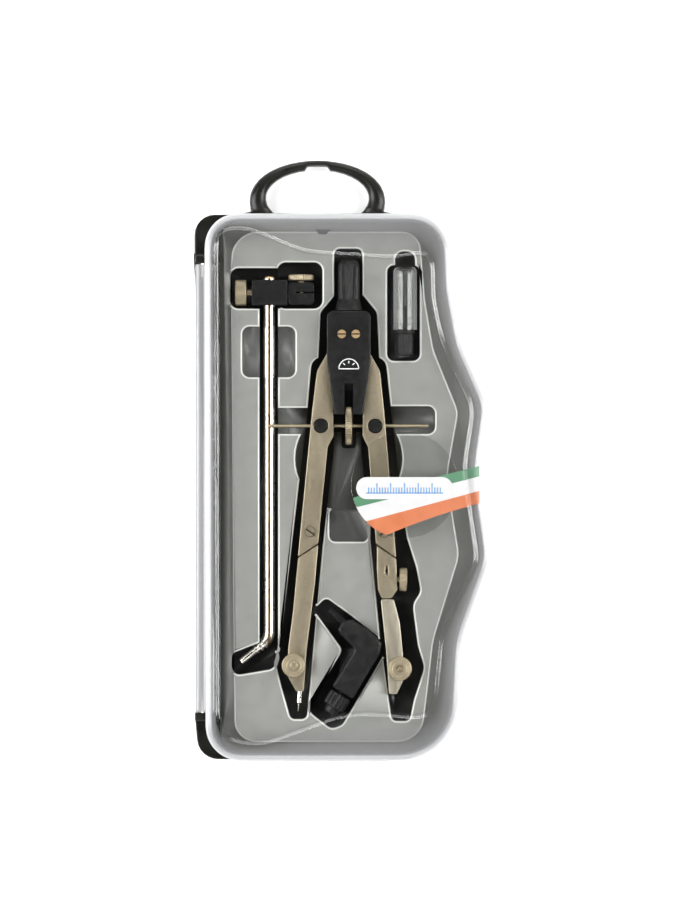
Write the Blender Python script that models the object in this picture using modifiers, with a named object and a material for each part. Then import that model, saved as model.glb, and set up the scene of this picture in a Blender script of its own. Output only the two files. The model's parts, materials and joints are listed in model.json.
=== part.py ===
"""A drafting compass set in a flat case with a clear hinged lid.

The case lies on its back: +Z is up out of the tray, +Y runs towards the hanging handle and +X away from the
hinge.
The tray holds a wheel-bow compass, an extension bar, a tube of spare leads and a pen adapter.
Lengths below are millimetres and angles are degrees. Outlines are lists of (x, y, corner radius).
"""

import math

import bmesh
import bpy
from mathutils import Matrix, Vector

MM = 0.001
GAP = 0.3  # between pieces that touch
ARC_STEP = 18.0  # most degrees between the points of a rounded corner
ARC_SAG = 0.08  # most that a rounded corner's flats stray from its true arc

# Case
CASE_WIDTH = 107.6
CASE_LENGTH = 199.5
CASE_Y = -10.05  # middle of the case body, which leaves room for the handle
BASE_HEIGHT = 11.0
BASE_FLOOR = 1.8
BASE_WALL = 1.8
LID_SIDE_TOP = 20.0
LID_TOP = 23.5
LID_WALL = 1.4
LABEL_RADIUS = 19.4
LABEL_THICKNESS = 0.3

# Hinge of the lid
HINGE_X_IN = 3.5  # from the left side of the case
HINGE_Z = 12.8
HINGE_RADIUS = 3.3
HINGE_PIN_RADIUS = 1.1
HINGE_TOP_IN = 18.4  # from the top edge of the case to the end of the hinge barrel
HINGE_BOTTOM_IN = 17.6
LUG_LENGTH = 3.0
PIN_LENGTH = 8.0

# Handle
HANDLE_X = -8.8
HANDLE_REACH = 20.1  # past the top edge of the case
HANDLE_HALF_WIDTH = 25.0
HANDLE_SIDE = 6.1
HANDLE_LOW = 2.0
HANDLE_HIGH = 9.0

# Tray
TRAY_TOP = 13.0
SHALLOW_FLOOR = 9.5  # of the finger recesses and the spindle's pocket
POCKET_ROOM = 0.2  # under the compass's lowest face
WHEEL_ROOM = 0.8  # under the wheel
BLOCK_ROOM = 0.4  # under the bar's blocks
FLANGE_LOW = 8.6
FLANGE_HIGH = 10.4

# Compass
COMPASS_X = 2.7
LAY_Z = 13.0  # height of every tool's middle plane
LEG_THICKNESS = 4.5
PIVOT_HALF = 2.55
PIVOT_Y = 45.7
EYE_RADIUS = 2.3
PIVOT_SHANK = 1.1
PIVOT_HEAD = 1.65
HEAD_PLATE = 2.2
HEAD_GAP = 0.35
HEAD_TOP_Y = 54.2
GRIP_TOP_Y = 73.0
GRIP_RADIUS = 4.0
TRUNNION_OUT = 10.2
TRUNNION_Y = 12.3
TRUNNION_RADIUS = 2.4
SPINDLE_RADIUS = 0.73
SPINDLE_HALF = 29.1
SPINDLE_RISE = 4.8  # how far up the head's slot the spindle slides as the legs open
SPINDLE_PLAY = 0.57  # lets the arc of the trunnions past the straight slide of the spindle
WHEEL_RADIUS = 7.0
WHEEL_THICKNESS = 2.4
SLOT_WIDTH = 3.0
RIGHT_LEG_CLOSER = 0.9
LEG_TILT = 5.7
KNEE_OUT = 14.1
KNEE_Y = -26.4
KNEE_SCREW = 1.9
KNEE_TONGUE = 1.6
CLAMP_OUT = 20.1
CLAMP_Y = -75.1
THUMB_RADIUS = 4.5
THUMB_HEIGHT = 2.6
NEEDLE_RADIUS = 0.85
SCREW_SHANK = 1.1  # of the knee screws and the bar's thumb screws
CLAMP_SHANK = 0.9  # of the legs' thumb screws
TENON_RADIUS = 1.2

# Extension bar
BAR_X = -26.4
BAR_RADIUS = 2.1
BAR_UNDER = 0.57  # from the top of the bar to the spindle that lies across it
BAR_BLOCK_Y = 61.0
BAR_BLOCK_HALF = 4.6
BAR_END_Y = -66.5
BAR_THUMB_RADIUS = 4.8

# Lead tube
TUBE_X = 23.3
TUBE_RADIUS = 4.3
TUBE_WALL = 0.8
TUBE_TOP_Y = 70.3
TUBE_MOUTH_Y = 47.4
TUBE_CAP_RADIUS = 3.1
TUBE_CAP_END_Y = 38.0
LEAD_RADIUS = 0.95

COLOURS = {
    "black_plastic": ((0.012, 0.012, 0.011), 0.32, 0.0),
    "tray_grey": ((0.31, 0.31, 0.29), 0.45, 0.15),
    "clear_plastic": ((0.78, 0.80, 0.80), 0.08, 0.0),
    "champagne": ((0.42, 0.35, 0.25), 0.38, 0.9),
    "brass": ((0.60, 0.40, 0.20), 0.3, 1.0),
    "steel": ((0.62, 0.60, 0.56), 0.2, 1.0),
    "graphite": ((0.03, 0.03, 0.035), 0.5, 0.2),
    "label": ((0.75, 0.78, 0.74), 0.4, 0.0),
}

CASE_LEFT = -CASE_WIDTH / 2
CASE_RIGHT = CASE_WIDTH / 2
CASE_TOP = CASE_Y + CASE_LENGTH / 2
CASE_BOTTOM = CASE_Y - CASE_LENGTH / 2
HINGE_X = CASE_LEFT + HINGE_X_IN
HINGE_TOP = CASE_TOP - HINGE_TOP_IN
HINGE_BOTTOM = CASE_BOTTOM + HINGE_BOTTOM_IN
NOTCH_X = HINGE_X + HINGE_RADIUS + 0.5  # the case's left side, beside the hinge barrel
LEG_LOW = LAY_Z - LEG_THICKNESS / 2
LEG_HIGH = LAY_Z + LEG_THICKNESS / 2
BAR_Z = LAY_Z - SPINDLE_RADIUS - BAR_UNDER - BAR_RADIUS
POCKET_FLOOR = LEG_LOW - HEAD_GAP - HEAD_PLATE - POCKET_ROOM
WHEEL_POCKET_FLOOR = LAY_Z - WHEEL_RADIUS - WHEEL_ROOM
BAR_FLOOR = BAR_Z - BAR_BLOCK_HALF - BLOCK_ROOM


# ---------------------------------------------------------------- outlines


def from_right(x, y, r):
    """A corner set out from the right side of the case."""
    return (CASE_RIGHT - x, y, r)


def case_side():
    """The wavy right side of the case, from the top right corner to the bottom right one."""
    return [
        from_right(14.5, CASE_TOP, 17.5),
        from_right(13.4, 61.9, 33),
        from_right(9.8, 41.8, 36),
        from_right(0.1, 19.9, 12),
        from_right(3.6, -5.6, 40),
        from_right(-0.9, -35.9, 18),
        from_right(9.8, -65.9, 33),
        from_right(11.9, CASE_BOTTOM, 22),
    ]


def case_outline():
    """The base's outline, notched on the left for the hinge barrel."""
    lug_top = HINGE_TOP + GAP + LUG_LENGTH
    lug_bottom = HINGE_BOTTOM - GAP - LUG_LENGTH
    return [
        *case_side(),
        (CASE_LEFT + 1.6, CASE_BOTTOM, 15),
        (CASE_LEFT + 0.3, lug_bottom, 0),
        (NOTCH_X, lug_bottom, 0),
        (NOTCH_X, lug_top, 0),
        (CASE_LEFT, lug_top, 0),
        (CASE_LEFT, CASE_TOP, 14.5),
    ]


def base_cavity_outline():
    """The inside of the base's wall."""
    corners = [*case_side(), (NOTCH_X, CASE_BOTTOM, 10), (NOTCH_X, CASE_TOP, 10)]
    return inset(corners, BASE_WALL)


def lid_outline():
    left = HINGE_X + 0.4
    return [*case_side(), (left + 0.4, CASE_BOTTOM, 12.5), (left, CASE_TOP, 12.0)]


def dome_outline():
    """The raised window of the lid."""
    left = HINGE_X + 4.7
    return [
        (left, CASE_TOP - 5.2, 11),
        (left + 12.5, CASE_TOP - 5.7, 20),
        (-13.3, CASE_TOP - 13.9, 30),
        from_right(32.4, CASE_TOP - 16.1, 40),
        from_right(20.7, CASE_TOP - 12.8, 5),
        from_right(20.3, 58.2, 30),
        from_right(17.2, 43.6, 30),
        from_right(5.8, 18.8, 12),
        from_right(9.2, -3.8, 25),
        from_right(4.3, -36.7, 10),
        from_right(17.1, -62.9, 20),
        from_right(20.3, CASE_BOTTOM + 15.4, 7),
        (3.2, CASE_BOTTOM + 17.7, 40),
        (-29.0, CASE_BOTTOM + 6.0, 15),
        (left + 0.6, CASE_BOTTOM + 8.2, 12),
    ]


def tray_outline():
    """The flat top of the tray."""
    left = CASE_LEFT + 13.3
    return [
        from_right(25.1, CASE_TOP - 6.3, 7),
        from_right(23.1, 58.2, 20),
        from_right(20.0, 40.0, 25),
        from_right(10.9, 17.4, 6),
        from_right(15.1, -6.7, 25),
        from_right(10.5, -35.2, 12),
        from_right(20.0, -65.9, 30),
        from_right(24.4, CASE_BOTTOM + 6.4, 10),
        (left + 1.3, CASE_BOTTOM + 6.4, 8),
        (left, CASE_TOP - 6.3, 10),
    ]


def box_outline(x0, x1, y0, y1, r=0.0):
    return [(x0, y0, r), (x1, y0, r), (x1, y1, r), (x0, y1, r)]


def inset(corners, distance):
    """The outline moved inwards, or outwards for a negative distance, rounded corners included."""
    pts = [Vector(c[:2]) for c in corners]
    area = sum(a.x * b.y - b.x * a.y for a, b in zip(pts, pts[1:] + pts[:1]))
    side = 1.0 if area > 0 else -1.0
    moved = []
    for i, p in enumerate(pts):
        before = (p - pts[i - 1]).normalized()
        after = (pts[(i + 1) % len(pts)] - p).normalized()
        n0 = Vector((-before.y, before.x)) * side
        n1 = Vector((-after.y, after.x)) * side
        turn = before.x * after.y - before.y * after.x
        shift = (n0 + n1) * (distance / (1.0 + n0.dot(n1)))
        radius = corners[i][2]
        if radius:
            radius = max(radius - distance * (1 if turn * side > 0 else -1), 0.2)
        moved.append((p.x + shift.x, p.y + shift.y, radius))
    return moved


def rounded(corners):
    """The points of an outline, with each corner turned on its radius as far as its sides have room."""
    pts = [Vector(c[:2]) for c in corners]
    out = []
    for i, p in enumerate(pts):
        back = pts[i - 1] - p
        ahead = pts[(i + 1) % len(pts)] - p
        angle = back.angle(ahead)
        radius = corners[i][2]
        if radius <= 0 or angle > math.radians(179):
            out.append((p.x, p.y))
            continue
        reach = radius / math.tan(angle / 2)
        room = 0.499 * min(back.length, ahead.length)
        if reach > room:
            reach = room
            radius = reach * math.tan(angle / 2)
        start = p + back.normalized() * reach
        end = p + ahead.normalized() * reach
        middle = p + (back.normalized() + ahead.normalized()).normalized() * (radius / math.sin(angle / 2))
        sweep = math.pi - angle
        flat = min(math.radians(ARC_STEP), 2 * math.acos(1 - min(ARC_SAG / radius, 1)))
        steps = max(2, math.ceil(sweep / flat))
        first = start - middle
        cross = first.x * (end - middle).y - first.y * (end - middle).x
        for k in range(steps + 1):
            turn = Matrix.Rotation(math.copysign(sweep * k / steps, cross), 2)
            q = middle + turn @ first
            out.append((q.x, q.y))
    return out


# ---------------------------------------------------------------- shapes


def start_scene():
    for obj in list(bpy.data.objects):
        bpy.data.objects.remove(obj)
    for name in ("compass_set", "cutters"):
        bpy.context.scene.collection.children.link(bpy.data.collections.new(name))


def material(name):
    found = bpy.data.materials.get(name)
    if found:
        return found
    colour, roughness, metallic = COLOURS[name]
    made = bpy.data.materials.new(name)
    made.use_nodes = True
    shader = made.node_tree.nodes["Principled BSDF"]
    shader.inputs["Base Color"].default_value = (*colour, 1.0)
    shader.inputs["Roughness"].default_value = roughness
    shader.inputs["Metallic"].default_value = metallic
    return made


def add_object(name, data, finish):
    """A part when it has a finish, and otherwise a cutter or a shape to join."""
    obj = bpy.data.objects.new(name, data)
    bpy.data.collections["compass_set" if finish else "cutters"].objects.link(obj)
    if finish:
        data.materials.append(material(finish))
    else:
        obj.hide_render = True
        obj.display_type = "WIRE"
    return obj


def prism(name, corners, low, high, finish=None, holes=()):
    """A flat outline, given a thickness from low to high."""
    curve = bpy.data.curves.new(name, "CURVE")
    curve.dimensions = "2D"
    curve.fill_mode = "BOTH"
    curve.extrude = (high - low) / 2 * MM
    for ring in (corners, *holes):
        points = rounded(ring)
        spline = curve.splines.new("POLY")
        spline.points.add(len(points) - 1)
        for point, (x, y) in zip(spline.points, points):
            point.co = (x * MM, y * MM, 0.0, 1.0)
        spline.use_cyclic_u = True
    flat = bpy.data.objects.new(name + "_outline", curve)
    bpy.context.scene.collection.objects.link(flat)
    mesh = bpy.data.meshes.new_from_object(flat.evaluated_get(bpy.context.evaluated_depsgraph_get()))
    bpy.data.objects.remove(flat)
    bm = bmesh.new()
    bm.from_mesh(mesh)
    bmesh.ops.remove_doubles(bm, verts=bm.verts, dist=1e-7)
    bmesh.ops.dissolve_limit(bm, angle_limit=0.001, verts=bm.verts, edges=bm.edges)
    bmesh.ops.recalc_face_normals(bm, faces=bm.faces)
    bmesh.ops.translate(bm, verts=bm.verts, vec=(0, 0, (low + high) / 2 * MM))
    bm.to_mesh(mesh)
    bm.free()
    mesh.materials.clear()
    return add_object(name, mesh, finish)


TO_AXIS = {
    "Z": Matrix.Identity(4),
    "X": Matrix.Rotation(math.pi / 2, 4, "Y"),
    "Y": Matrix.Rotation(-math.pi / 2, 4, "X"),
}


def turned(name, profile, place, axis="Z", finish=None, steps=24, spin=0.0, ring=False):
    """A profile of (radius, height), from its top down its outer side, turned about an axis through place."""
    mesh = bpy.data.meshes.new(name)
    edges = [(i, i + 1) for i in range(len(profile) - 1)]
    if ring:
        edges.append((len(profile) - 1, 0))
    mesh.from_pydata([(r * MM, 0, h * MM) for r, h in profile], edges, [])
    obj = add_object(name, mesh, finish)
    screw = obj.modifiers.new("turn", "SCREW")
    screw.steps = steps
    screw.render_steps = steps
    screw.use_merge_vertices = True
    screw.merge_threshold = 1e-6
    screw.use_smooth_shade = True
    obj.matrix_world = (
        Matrix.Translation(Vector(place) * MM) @ Matrix.Rotation(math.radians(spin), 4, "Z") @ TO_AXIS[axis]
    )
    return obj


def rod(name, radius, start, end, place, axis="Z", finish=None, steps=24, spin=0.0):
    """A plain cylinder from start to end along its axis."""
    profile = [(0, end), (radius, end), (radius, start), (0, start)]
    return turned(name, profile, place, axis, finish, steps, spin)


def cut(target, *cutters, mode="DIFFERENCE"):
    for cutter in cutters:
        boolean = target.modifiers.new(cutter.name, "BOOLEAN")
        boolean.operation = mode
        boolean.solver = "EXACT"
        boolean.object = cutter


def join(target, *others):
    cut(target, *others, mode="UNION")


def turn_about(objects, x, y, degrees):
    """Turns objects about a vertical axis."""
    place = Vector((x, y, 0)) * MM
    turn = Matrix.Translation(place) @ Matrix.Rotation(math.radians(degrees), 4, "Z") @ Matrix.Translation(-place)
    for obj in objects:
        obj.matrix_world = turn @ obj.matrix_world


def placed(corners, side=1):
    """Corners given outwards from the compass's middle, on its right side for 1 and its left for -1."""
    return [(COMPASS_X + side * u, y, r) for u, y, r in corners]


# ---------------------------------------------------------------- case


def make_base():
    base = prism("case_base", case_outline(), 0, BASE_HEIGHT, "black_plastic")
    cut(base, prism("base_cavity", base_cavity_outline(), BASE_FLOOR, BASE_HEIGHT + 5))
    # Lugs that carry the hinge pins, at both ends of the barrel
    for end, y0, y1 in (
        ("upper", HINGE_TOP + GAP, HINGE_TOP + GAP + LUG_LENGTH),
        ("lower", HINGE_BOTTOM - GAP - LUG_LENGTH, HINGE_BOTTOM - GAP),
    ):
        lug = prism(
            f"lug_{end}",
            box_outline(HINGE_X - HINGE_RADIUS + 0.1, HINGE_X + HINGE_RADIUS + 1.5, y0, y1 + 0.01),
            0.5,
            HINGE_Z + HINGE_RADIUS - 0.6,
        )
        join(base, lug)
        bore = rod(
            f"lug_bore_{end}",
            HINGE_PIN_RADIUS + GAP,
            -2,
            LUG_LENGTH + 2,
            (HINGE_X, y0, HINGE_Z),
            "Y",
        )
        cut(base, bore)
    # The hanging loop, moulded in one with the base
    outer = []
    inner = []
    middle_y = CASE_TOP + 4.6
    reach = CASE_TOP + HANDLE_REACH - middle_y
    for k in range(25):
        t = math.pi * k / 24
        outer.append((HANDLE_X + HANDLE_HALF_WIDTH * math.cos(t), middle_y + reach * math.sin(t) ** 0.9, 0))
    outer += [
        (HANDLE_X - HANDLE_HALF_WIDTH + 1.0, CASE_TOP - 1.2, 0),
        (HANDLE_X + HANDLE_HALF_WIDTH - 1.0, CASE_TOP - 1.2, 0),
    ]
    inner_y = CASE_TOP + 6.2
    inner_reach = CASE_TOP + HANDLE_REACH - 3.6 - inner_y
    half = HANDLE_HALF_WIDTH - HANDLE_SIDE
    for k in range(25):
        t = -0.62 + (math.pi + 1.24) * k / 24
        inner.append((HANDLE_X + half * math.cos(t), inner_y + inner_reach * math.sin(t), 0))
    loop = prism("handle_loop", outer, HANDLE_LOW, HANDLE_HIGH)
    join(base, loop)
    cut(base, prism("handle_opening", inner, HANDLE_LOW - 2, HANDLE_HIGH + 2))
    hang = box_outline(HANDLE_X - 4.2, HANDLE_X + 4.2, inner_y, inner_y + inner_reach + 1.3, 1.0)
    cut(base, prism("hang_notch", hang, HANDLE_LOW - 2, HANDLE_HIGH + 2))


def make_lid():
    lid = prism("case_lid", lid_outline(), BASE_HEIGHT + GAP, LID_SIDE_TOP, "clear_plastic")
    join(lid, prism("dome", dome_outline(), LID_SIDE_TOP - 1, LID_TOP))
    length = HINGE_TOP - HINGE_BOTTOM
    barrel = rod("hinge_barrel", HINGE_RADIUS, -1, length + 1, (HINGE_X, HINGE_BOTTOM, HINGE_Z), "Y")
    join(lid, barrel)
    cut(
        lid,
        prism("lid_hollow", inset(lid_outline(), LID_WALL + 2.6), BASE_HEIGHT - 1, LID_SIDE_TOP - LID_WALL),
        prism("dome_hollow", inset(dome_outline(), LID_WALL), BASE_HEIGHT - 1, LID_TOP - LID_WALL),
    )
    for end, y0, y1 in (
        ("upper", HINGE_TOP, HINGE_TOP + LUG_LENGTH + 2 * GAP),
        ("lower", HINGE_BOTTOM - LUG_LENGTH - 2 * GAP, HINGE_BOTTOM),
    ):
        room = box_outline(HINGE_X - 6, HINGE_X + HINGE_RADIUS + 1.9, y0, y1)
        cut(lid, prism(f"lug_room_{end}", room, BASE_HEIGHT - 3, HINGE_Z + HINGE_RADIUS + 1.6))
    cut(
        lid,
        rod(
            "pin_bore",
            HINGE_PIN_RADIUS + GAP,
            -2,
            length + 2,
            (HINGE_X, HINGE_BOTTOM, HINGE_Z),
            "Y",
            None,
            16,
        ),
    )
    low = HINGE_TOP + GAP + LUG_LENGTH - PIN_LENGTH
    rod("hinge_pin_upper", HINGE_PIN_RADIUS, 0, PIN_LENGTH, (HINGE_X, low, HINGE_Z), "Y", "steel", 16)
    low = HINGE_BOTTOM - GAP - LUG_LENGTH
    rod("hinge_pin_lower", HINGE_PIN_RADIUS, 0, PIN_LENGTH, (HINGE_X, low, HINGE_Z), "Y", "steel", 16)
    label_low = LID_TOP + GAP
    middle = (CASE_RIGHT - 30.9, -9.3, label_low)
    rod("lid_label", LABEL_RADIUS, 0, LABEL_THICKNESS, middle, "Z", "label", 48)


def make_tray():
    tray = prism("tray", tray_outline(), BASE_FLOOR + GAP, TRAY_TOP, "tray_grey")
    join(tray, prism("tray_flange", inset(base_cavity_outline(), 0.4), FLANGE_LOW, FLANGE_HIGH))
    top = TRAY_TOP + 3
    wheel_room = WHEEL_RADIUS + 1.2
    wheel_half = WHEEL_THICKNESS / 2 + 1.4
    x = COMPASS_X
    pockets = [
        ("block_left", box_outline(BAR_X - 14.3, BAR_X + 6.0, 55.2, 69.9, 3), BAR_FLOOR - 0.2),
        ("block_right", box_outline(BAR_X + 3.0, BAR_X + 19.4, 55.2, 72.0, 3), BAR_FLOOR - 0.2),
        (
            "bar_groove",
            box_outline(BAR_X - BAR_RADIUS - 1.4, BAR_X + BAR_RADIUS + 1.1, -70.0, 58.0, 1),
            BAR_FLOOR,
        ),
        ("finger_left", box_outline(BAR_X - 9.8, BAR_X + 9.5, 30.1, 48.5, 2.6), SHALLOW_FLOOR),
        (
            "bar_foot",
            [
                (-40.1, -71.0, 2), (-40.3, -79.2, 3), (-24.6, -76.5, 3), (-23.4, -72.0, 3),
                (-26.0, -66.0, 2), (-30.4, -67.2, 2),
            ],
            BAR_FLOOR,
        ),
        ("spindle_left", box_outline(-SPINDLE_HALF + x - 1.0, x - 9, 9.4, 18.8, 2.2), SHALLOW_FLOOR),
        ("spindle_right", box_outline(x + 8, SPINDLE_HALF + x + 2.4, 9.4, 19.4, 2.6), SHALLOW_FLOOR),
        (
            "tube",
            box_outline(TUBE_X - TUBE_RADIUS - 2.2, TUBE_X + TUBE_RADIUS + 1.0, 36.1, 71.0, 2.4),
            POCKET_FLOOR,
        ),
        ("tube_finger", box_outline(TUBE_X - 3.6, TUBE_X + 3.6, 66.0, 76.0, 3), POCKET_FLOOR),
        ("grip", box_outline(x - 5.3, x + 4.9, 50.0, 77.0, 2), POCKET_FLOOR),
        (
            "head",
            placed([
                (-4.6, 60.6, 3), (4.6, 60.6, 3), (10.2, 53.8, 3), (11.0, 37.5, 4), (13.4, 24.0, 3),
                (9.0, 10.0, 1), (-9.0, 10.0, 1), (-13.4, 24.0, 3), (-11.0, 37.5, 4),
                (-10.2, 53.8, 3),
            ]),
            POCKET_FLOOR - 0.2,
        ),
        (
            "leg_left",
            placed(
                [
                    (5, 40, 3), (13.5, 36, 4), (15.3, 15.4, 4), (20.3, -27, 20), (25.0, -68, 8),
                    (26.5, -75.1, 5), (24.6, -82.8, 4), (21.2, -94.9, 2), (15.4, -94.9, 2),
                    (13.4, -73.0, 20), (9.6, -31.5, 20), (5.5, 3, 4),
                ],
                -1,
            ),
            POCKET_FLOOR,
        ),
        (
            "leg_right",
            placed([
                (5, 40, 3), (13.5, 36, 4), (15.6, 16.4, 4), (21.0, -28, 10), (24.6, -39.5, 4),
                (26.3, -48.5, 4), (23.2, -52.8, 6), (25.2, -68, 8), (27.6, -76.0, 5),
                (23.8, -87.8, 4), (22.2, -95.6, 2), (15.8, -95.6, 2), (11.6, -66.0, 20),
                (8.2, -31.5, 20), (4.6, 3, 4),
            ]),
            POCKET_FLOOR,
        ),
        (
            "adapter",
            [
                (-10.2, -54.9, 2), (-5.6, -50.6, 2), (3.6, -57.2, 4), (16.4, -67.4, 3),
                (15.2, -71.6, 4), (0.4, -97.0, 3), (-3.6, -98.6, 3), (-11.3, -92.6, 3),
                (-11.3, -89.4, 3), (0.6, -69.6, 3),
            ],
            POCKET_FLOOR - 0.2,
        ),
    ]
    cut(tray, *(prism(f"{name}_pocket", outline, floor, top) for name, outline, floor in pockets))
    cut(
        tray,
        rod("finger_round", 19.5, SHALLOW_FLOOR, top, (x, 0.3, 0), "Z", None, 48),
        prism(
            "wheel_pocket",
            box_outline(
                x - wheel_half, x + wheel_half, TRUNNION_Y - wheel_room, TRUNNION_Y + wheel_room + SPINDLE_RISE, 1
            ),
            WHEEL_POCKET_FLOOR,
            top,
        ),
        prism("bridge", box_outline(x - 7.0, x + 7.0, -30, -18.0, 2), TRAY_TOP - 3.0, top),
    )


# ---------------------------------------------------------------- compass


def make_head():
    half = 8.0
    foot = 5.2
    slot = SLOT_WIDTH / 2
    slot_top = 27.6
    foot_y = 16.4
    outline = placed(
        [
            (-half, HEAD_TOP_Y, 2.5),
            (-half, 35.6, 20),
            (-foot, foot_y, 0.5),
            (-slot, foot_y, 0),
            (-slot, slot_top, 0),
            (slot, slot_top, 0),
            (slot, foot_y, 0),
            (foot, foot_y, 0.5),
            (half, 35.6, 20),
            (half, HEAD_TOP_Y, 2.5),
        ]
    )
    front_low = LEG_HIGH + HEAD_GAP
    back_high = LEG_LOW - HEAD_GAP
    front = prism("head_front", outline, front_low, front_low + HEAD_PLATE, "black_plastic")
    back = prism("head_back", outline, back_high - HEAD_PLATE, back_high, "black_plastic")
    for side, word in ((-1, "left"), (1, "right")):
        place = (COMPASS_X + side * PIVOT_HALF, PIVOT_Y, 0)
        hole = rod(f"pivot_hole_{word}", PIVOT_SHANK + GAP, 5, 21, place)
        cut(front, hole)
        cut(back, hole)
        seat = front_low + HEAD_PLATE + GAP
        screw = turned(
            f"pivot_screw_{word}",
            [
                (0, seat + 0.6),
                (PIVOT_HEAD - 0.2, seat + 0.6),
                (PIVOT_HEAD, seat + 0.4),
                (PIVOT_HEAD, seat),
                (PIVOT_SHANK, seat),
                (PIVOT_SHANK, back_high - HEAD_PLATE + 0.2),
                (0, back_high - HEAD_PLATE + 0.2),
            ],
            place,
            "Z",
            "brass",
            20,
        )
        groove = prism(
            f"pivot_slot_{word}",
            box_outline(place[0] - 2, place[0] + 2, PIVOT_Y - 0.25, PIVOT_Y + 0.25),
            seat + 0.3,
            seat + 2,
        )
        cut(screw, groove)
    # The grip's tang sits between the plates, above the leg eyes
    neck_y = HEAD_TOP_Y + GAP
    grip = turned(
        "grip",
        [
            (0, GRIP_TOP_Y), (GRIP_RADIUS - 1.3, GRIP_TOP_Y),
            (GRIP_RADIUS - 0.4, GRIP_TOP_Y - 1.0), (GRIP_RADIUS, GRIP_TOP_Y - 2.6),
            (GRIP_RADIUS, neck_y + 5), (GRIP_RADIUS + 1.0, neck_y), (0, neck_y),
        ],
        (COMPASS_X, 0, LAY_Z),
        "Y",
        "black_plastic",
        24,
    )
    tang = box_outline(COMPASS_X - 3.2, COMPASS_X + 3.2, PIVOT_Y + EYE_RADIUS + 1.2, neck_y + 2)
    join(grip, prism("grip_tang", tang, LEG_LOW, LEG_HIGH))


def upper_leg(word, side):
    """One upper leg in its place, with its eye, trunnion bore, spindle channel and knee fork."""
    outline = placed(
        [
            (8.1, 38.5, 6),
            (11.6, 32.4, 5),
            (13.4, 17.7, 10),
            (18.6, -35.6, 0.3),
            (11.1, -30.5, 0.3),
            (7.7, 4.6, 2),
            (5.55, 8.5, 2),
            (5.6, 17.5, 1),
            (4.4, 36.0, 5),
            (PIVOT_HALF - EYE_RADIUS, 42.6, 4),
            (PIVOT_HALF - EYE_RADIUS, PIVOT_Y + EYE_RADIUS, EYE_RADIUS),
            (PIVOT_HALF + EYE_RADIUS, PIVOT_Y + EYE_RADIUS, EYE_RADIUS),
            (PIVOT_HALF + EYE_RADIUS, 44.6, 4),
        ],
        side,
    )
    leg = prism(f"leg_upper_{word}", outline, LEG_LOW, LEG_HIGH, "champagne")
    eye = (COMPASS_X + side * PIVOT_HALF, PIVOT_Y, 0)
    trunnion = (COMPASS_X + side * TRUNNION_OUT, TRUNNION_Y, 0)
    across = TRUNNION_OUT * 3
    channel_high = SPINDLE_RADIUS + 0.45
    channel_half = SPINDLE_RADIUS + 2.3
    channel = box_outline(
        trunnion[0] - across,
        trunnion[0] + across,
        TRUNNION_Y - channel_half,
        TRUNNION_Y + channel_half,
    )
    knee = (COMPASS_X + side * KNEE_OUT, KNEE_Y, 0)
    fork_reach = 5.0
    fork_room = KNEE_TONGUE / 2 + GAP
    fork_top = KNEE_Y + fork_reach
    fork_outline = [
        (KNEE_OUT - fork_reach, fork_top, fork_reach),
        (KNEE_OUT + fork_reach, fork_top, fork_reach),
        (KNEE_OUT + 7.4, fork_top - 20.6, 0),
        (KNEE_OUT - 5.6, fork_top - 20.6, 0),
    ]
    fork = prism(f"fork_{word}", placed(fork_outline, side), LAY_Z - fork_room, LAY_Z + fork_room)
    cut(
        leg,
        rod(f"eye_hole_{word}", PIVOT_SHANK + GAP, 5, 21, eye),
        rod(f"trunnion_bore_{word}", TRUNNION_RADIUS + GAP, 5, 21, trunnion, "Z", None, 24),
        prism(f"channel_{word}", channel, LAY_Z - channel_high, LAY_Z + channel_high),
        fork,
        rod(f"knee_hole_{word}", SCREW_SHANK + GAP, 5, 21, knee),
    )
    return leg


def trunnion(word, side):
    body = rod(
        f"trunnion_{word}",
        TRUNNION_RADIUS,
        LEG_LOW - 0.2,
        LEG_HIGH + 0.35,
        (COMPASS_X + side * TRUNNION_OUT, TRUNNION_Y, 0),
        "Z",
        "black_plastic",
        24,
    )
    hole_place = (COMPASS_X + side * TRUNNION_OUT - 6, TRUNNION_Y, LAY_Z)
    cut(body, rod(f"nut_hole_{word}", SPINDLE_RADIUS + SPINDLE_PLAY, 0, 12, hole_place, "X", None, 16))
    return body


def knee_screw(word, side):
    seat = LEG_HIGH + GAP
    place = (COMPASS_X + side * KNEE_OUT, KNEE_Y, 0)
    screw = turned(
        f"knee_screw_{word}",
        [
            (0, seat + 0.5), (KNEE_SCREW - 0.2, seat + 0.5), (KNEE_SCREW, seat + 0.3),
            (KNEE_SCREW, seat), (SCREW_SHANK, seat), (SCREW_SHANK, LEG_LOW + 0.2), (0, LEG_LOW + 0.2),
        ],
        place,
        "Z",
        "champagne",
        20,
    )
    groove = prism(
        f"knee_slot_{word}",
        box_outline(place[0] - 2.5, place[0] + 2.5, KNEE_Y - 0.25, KNEE_Y + 0.25),
        seat + 0.22,
        seat + 2,
    )
    turn_about([groove], place[0], KNEE_Y, 35 * side)
    cut(screw, groove)
    return screw


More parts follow.
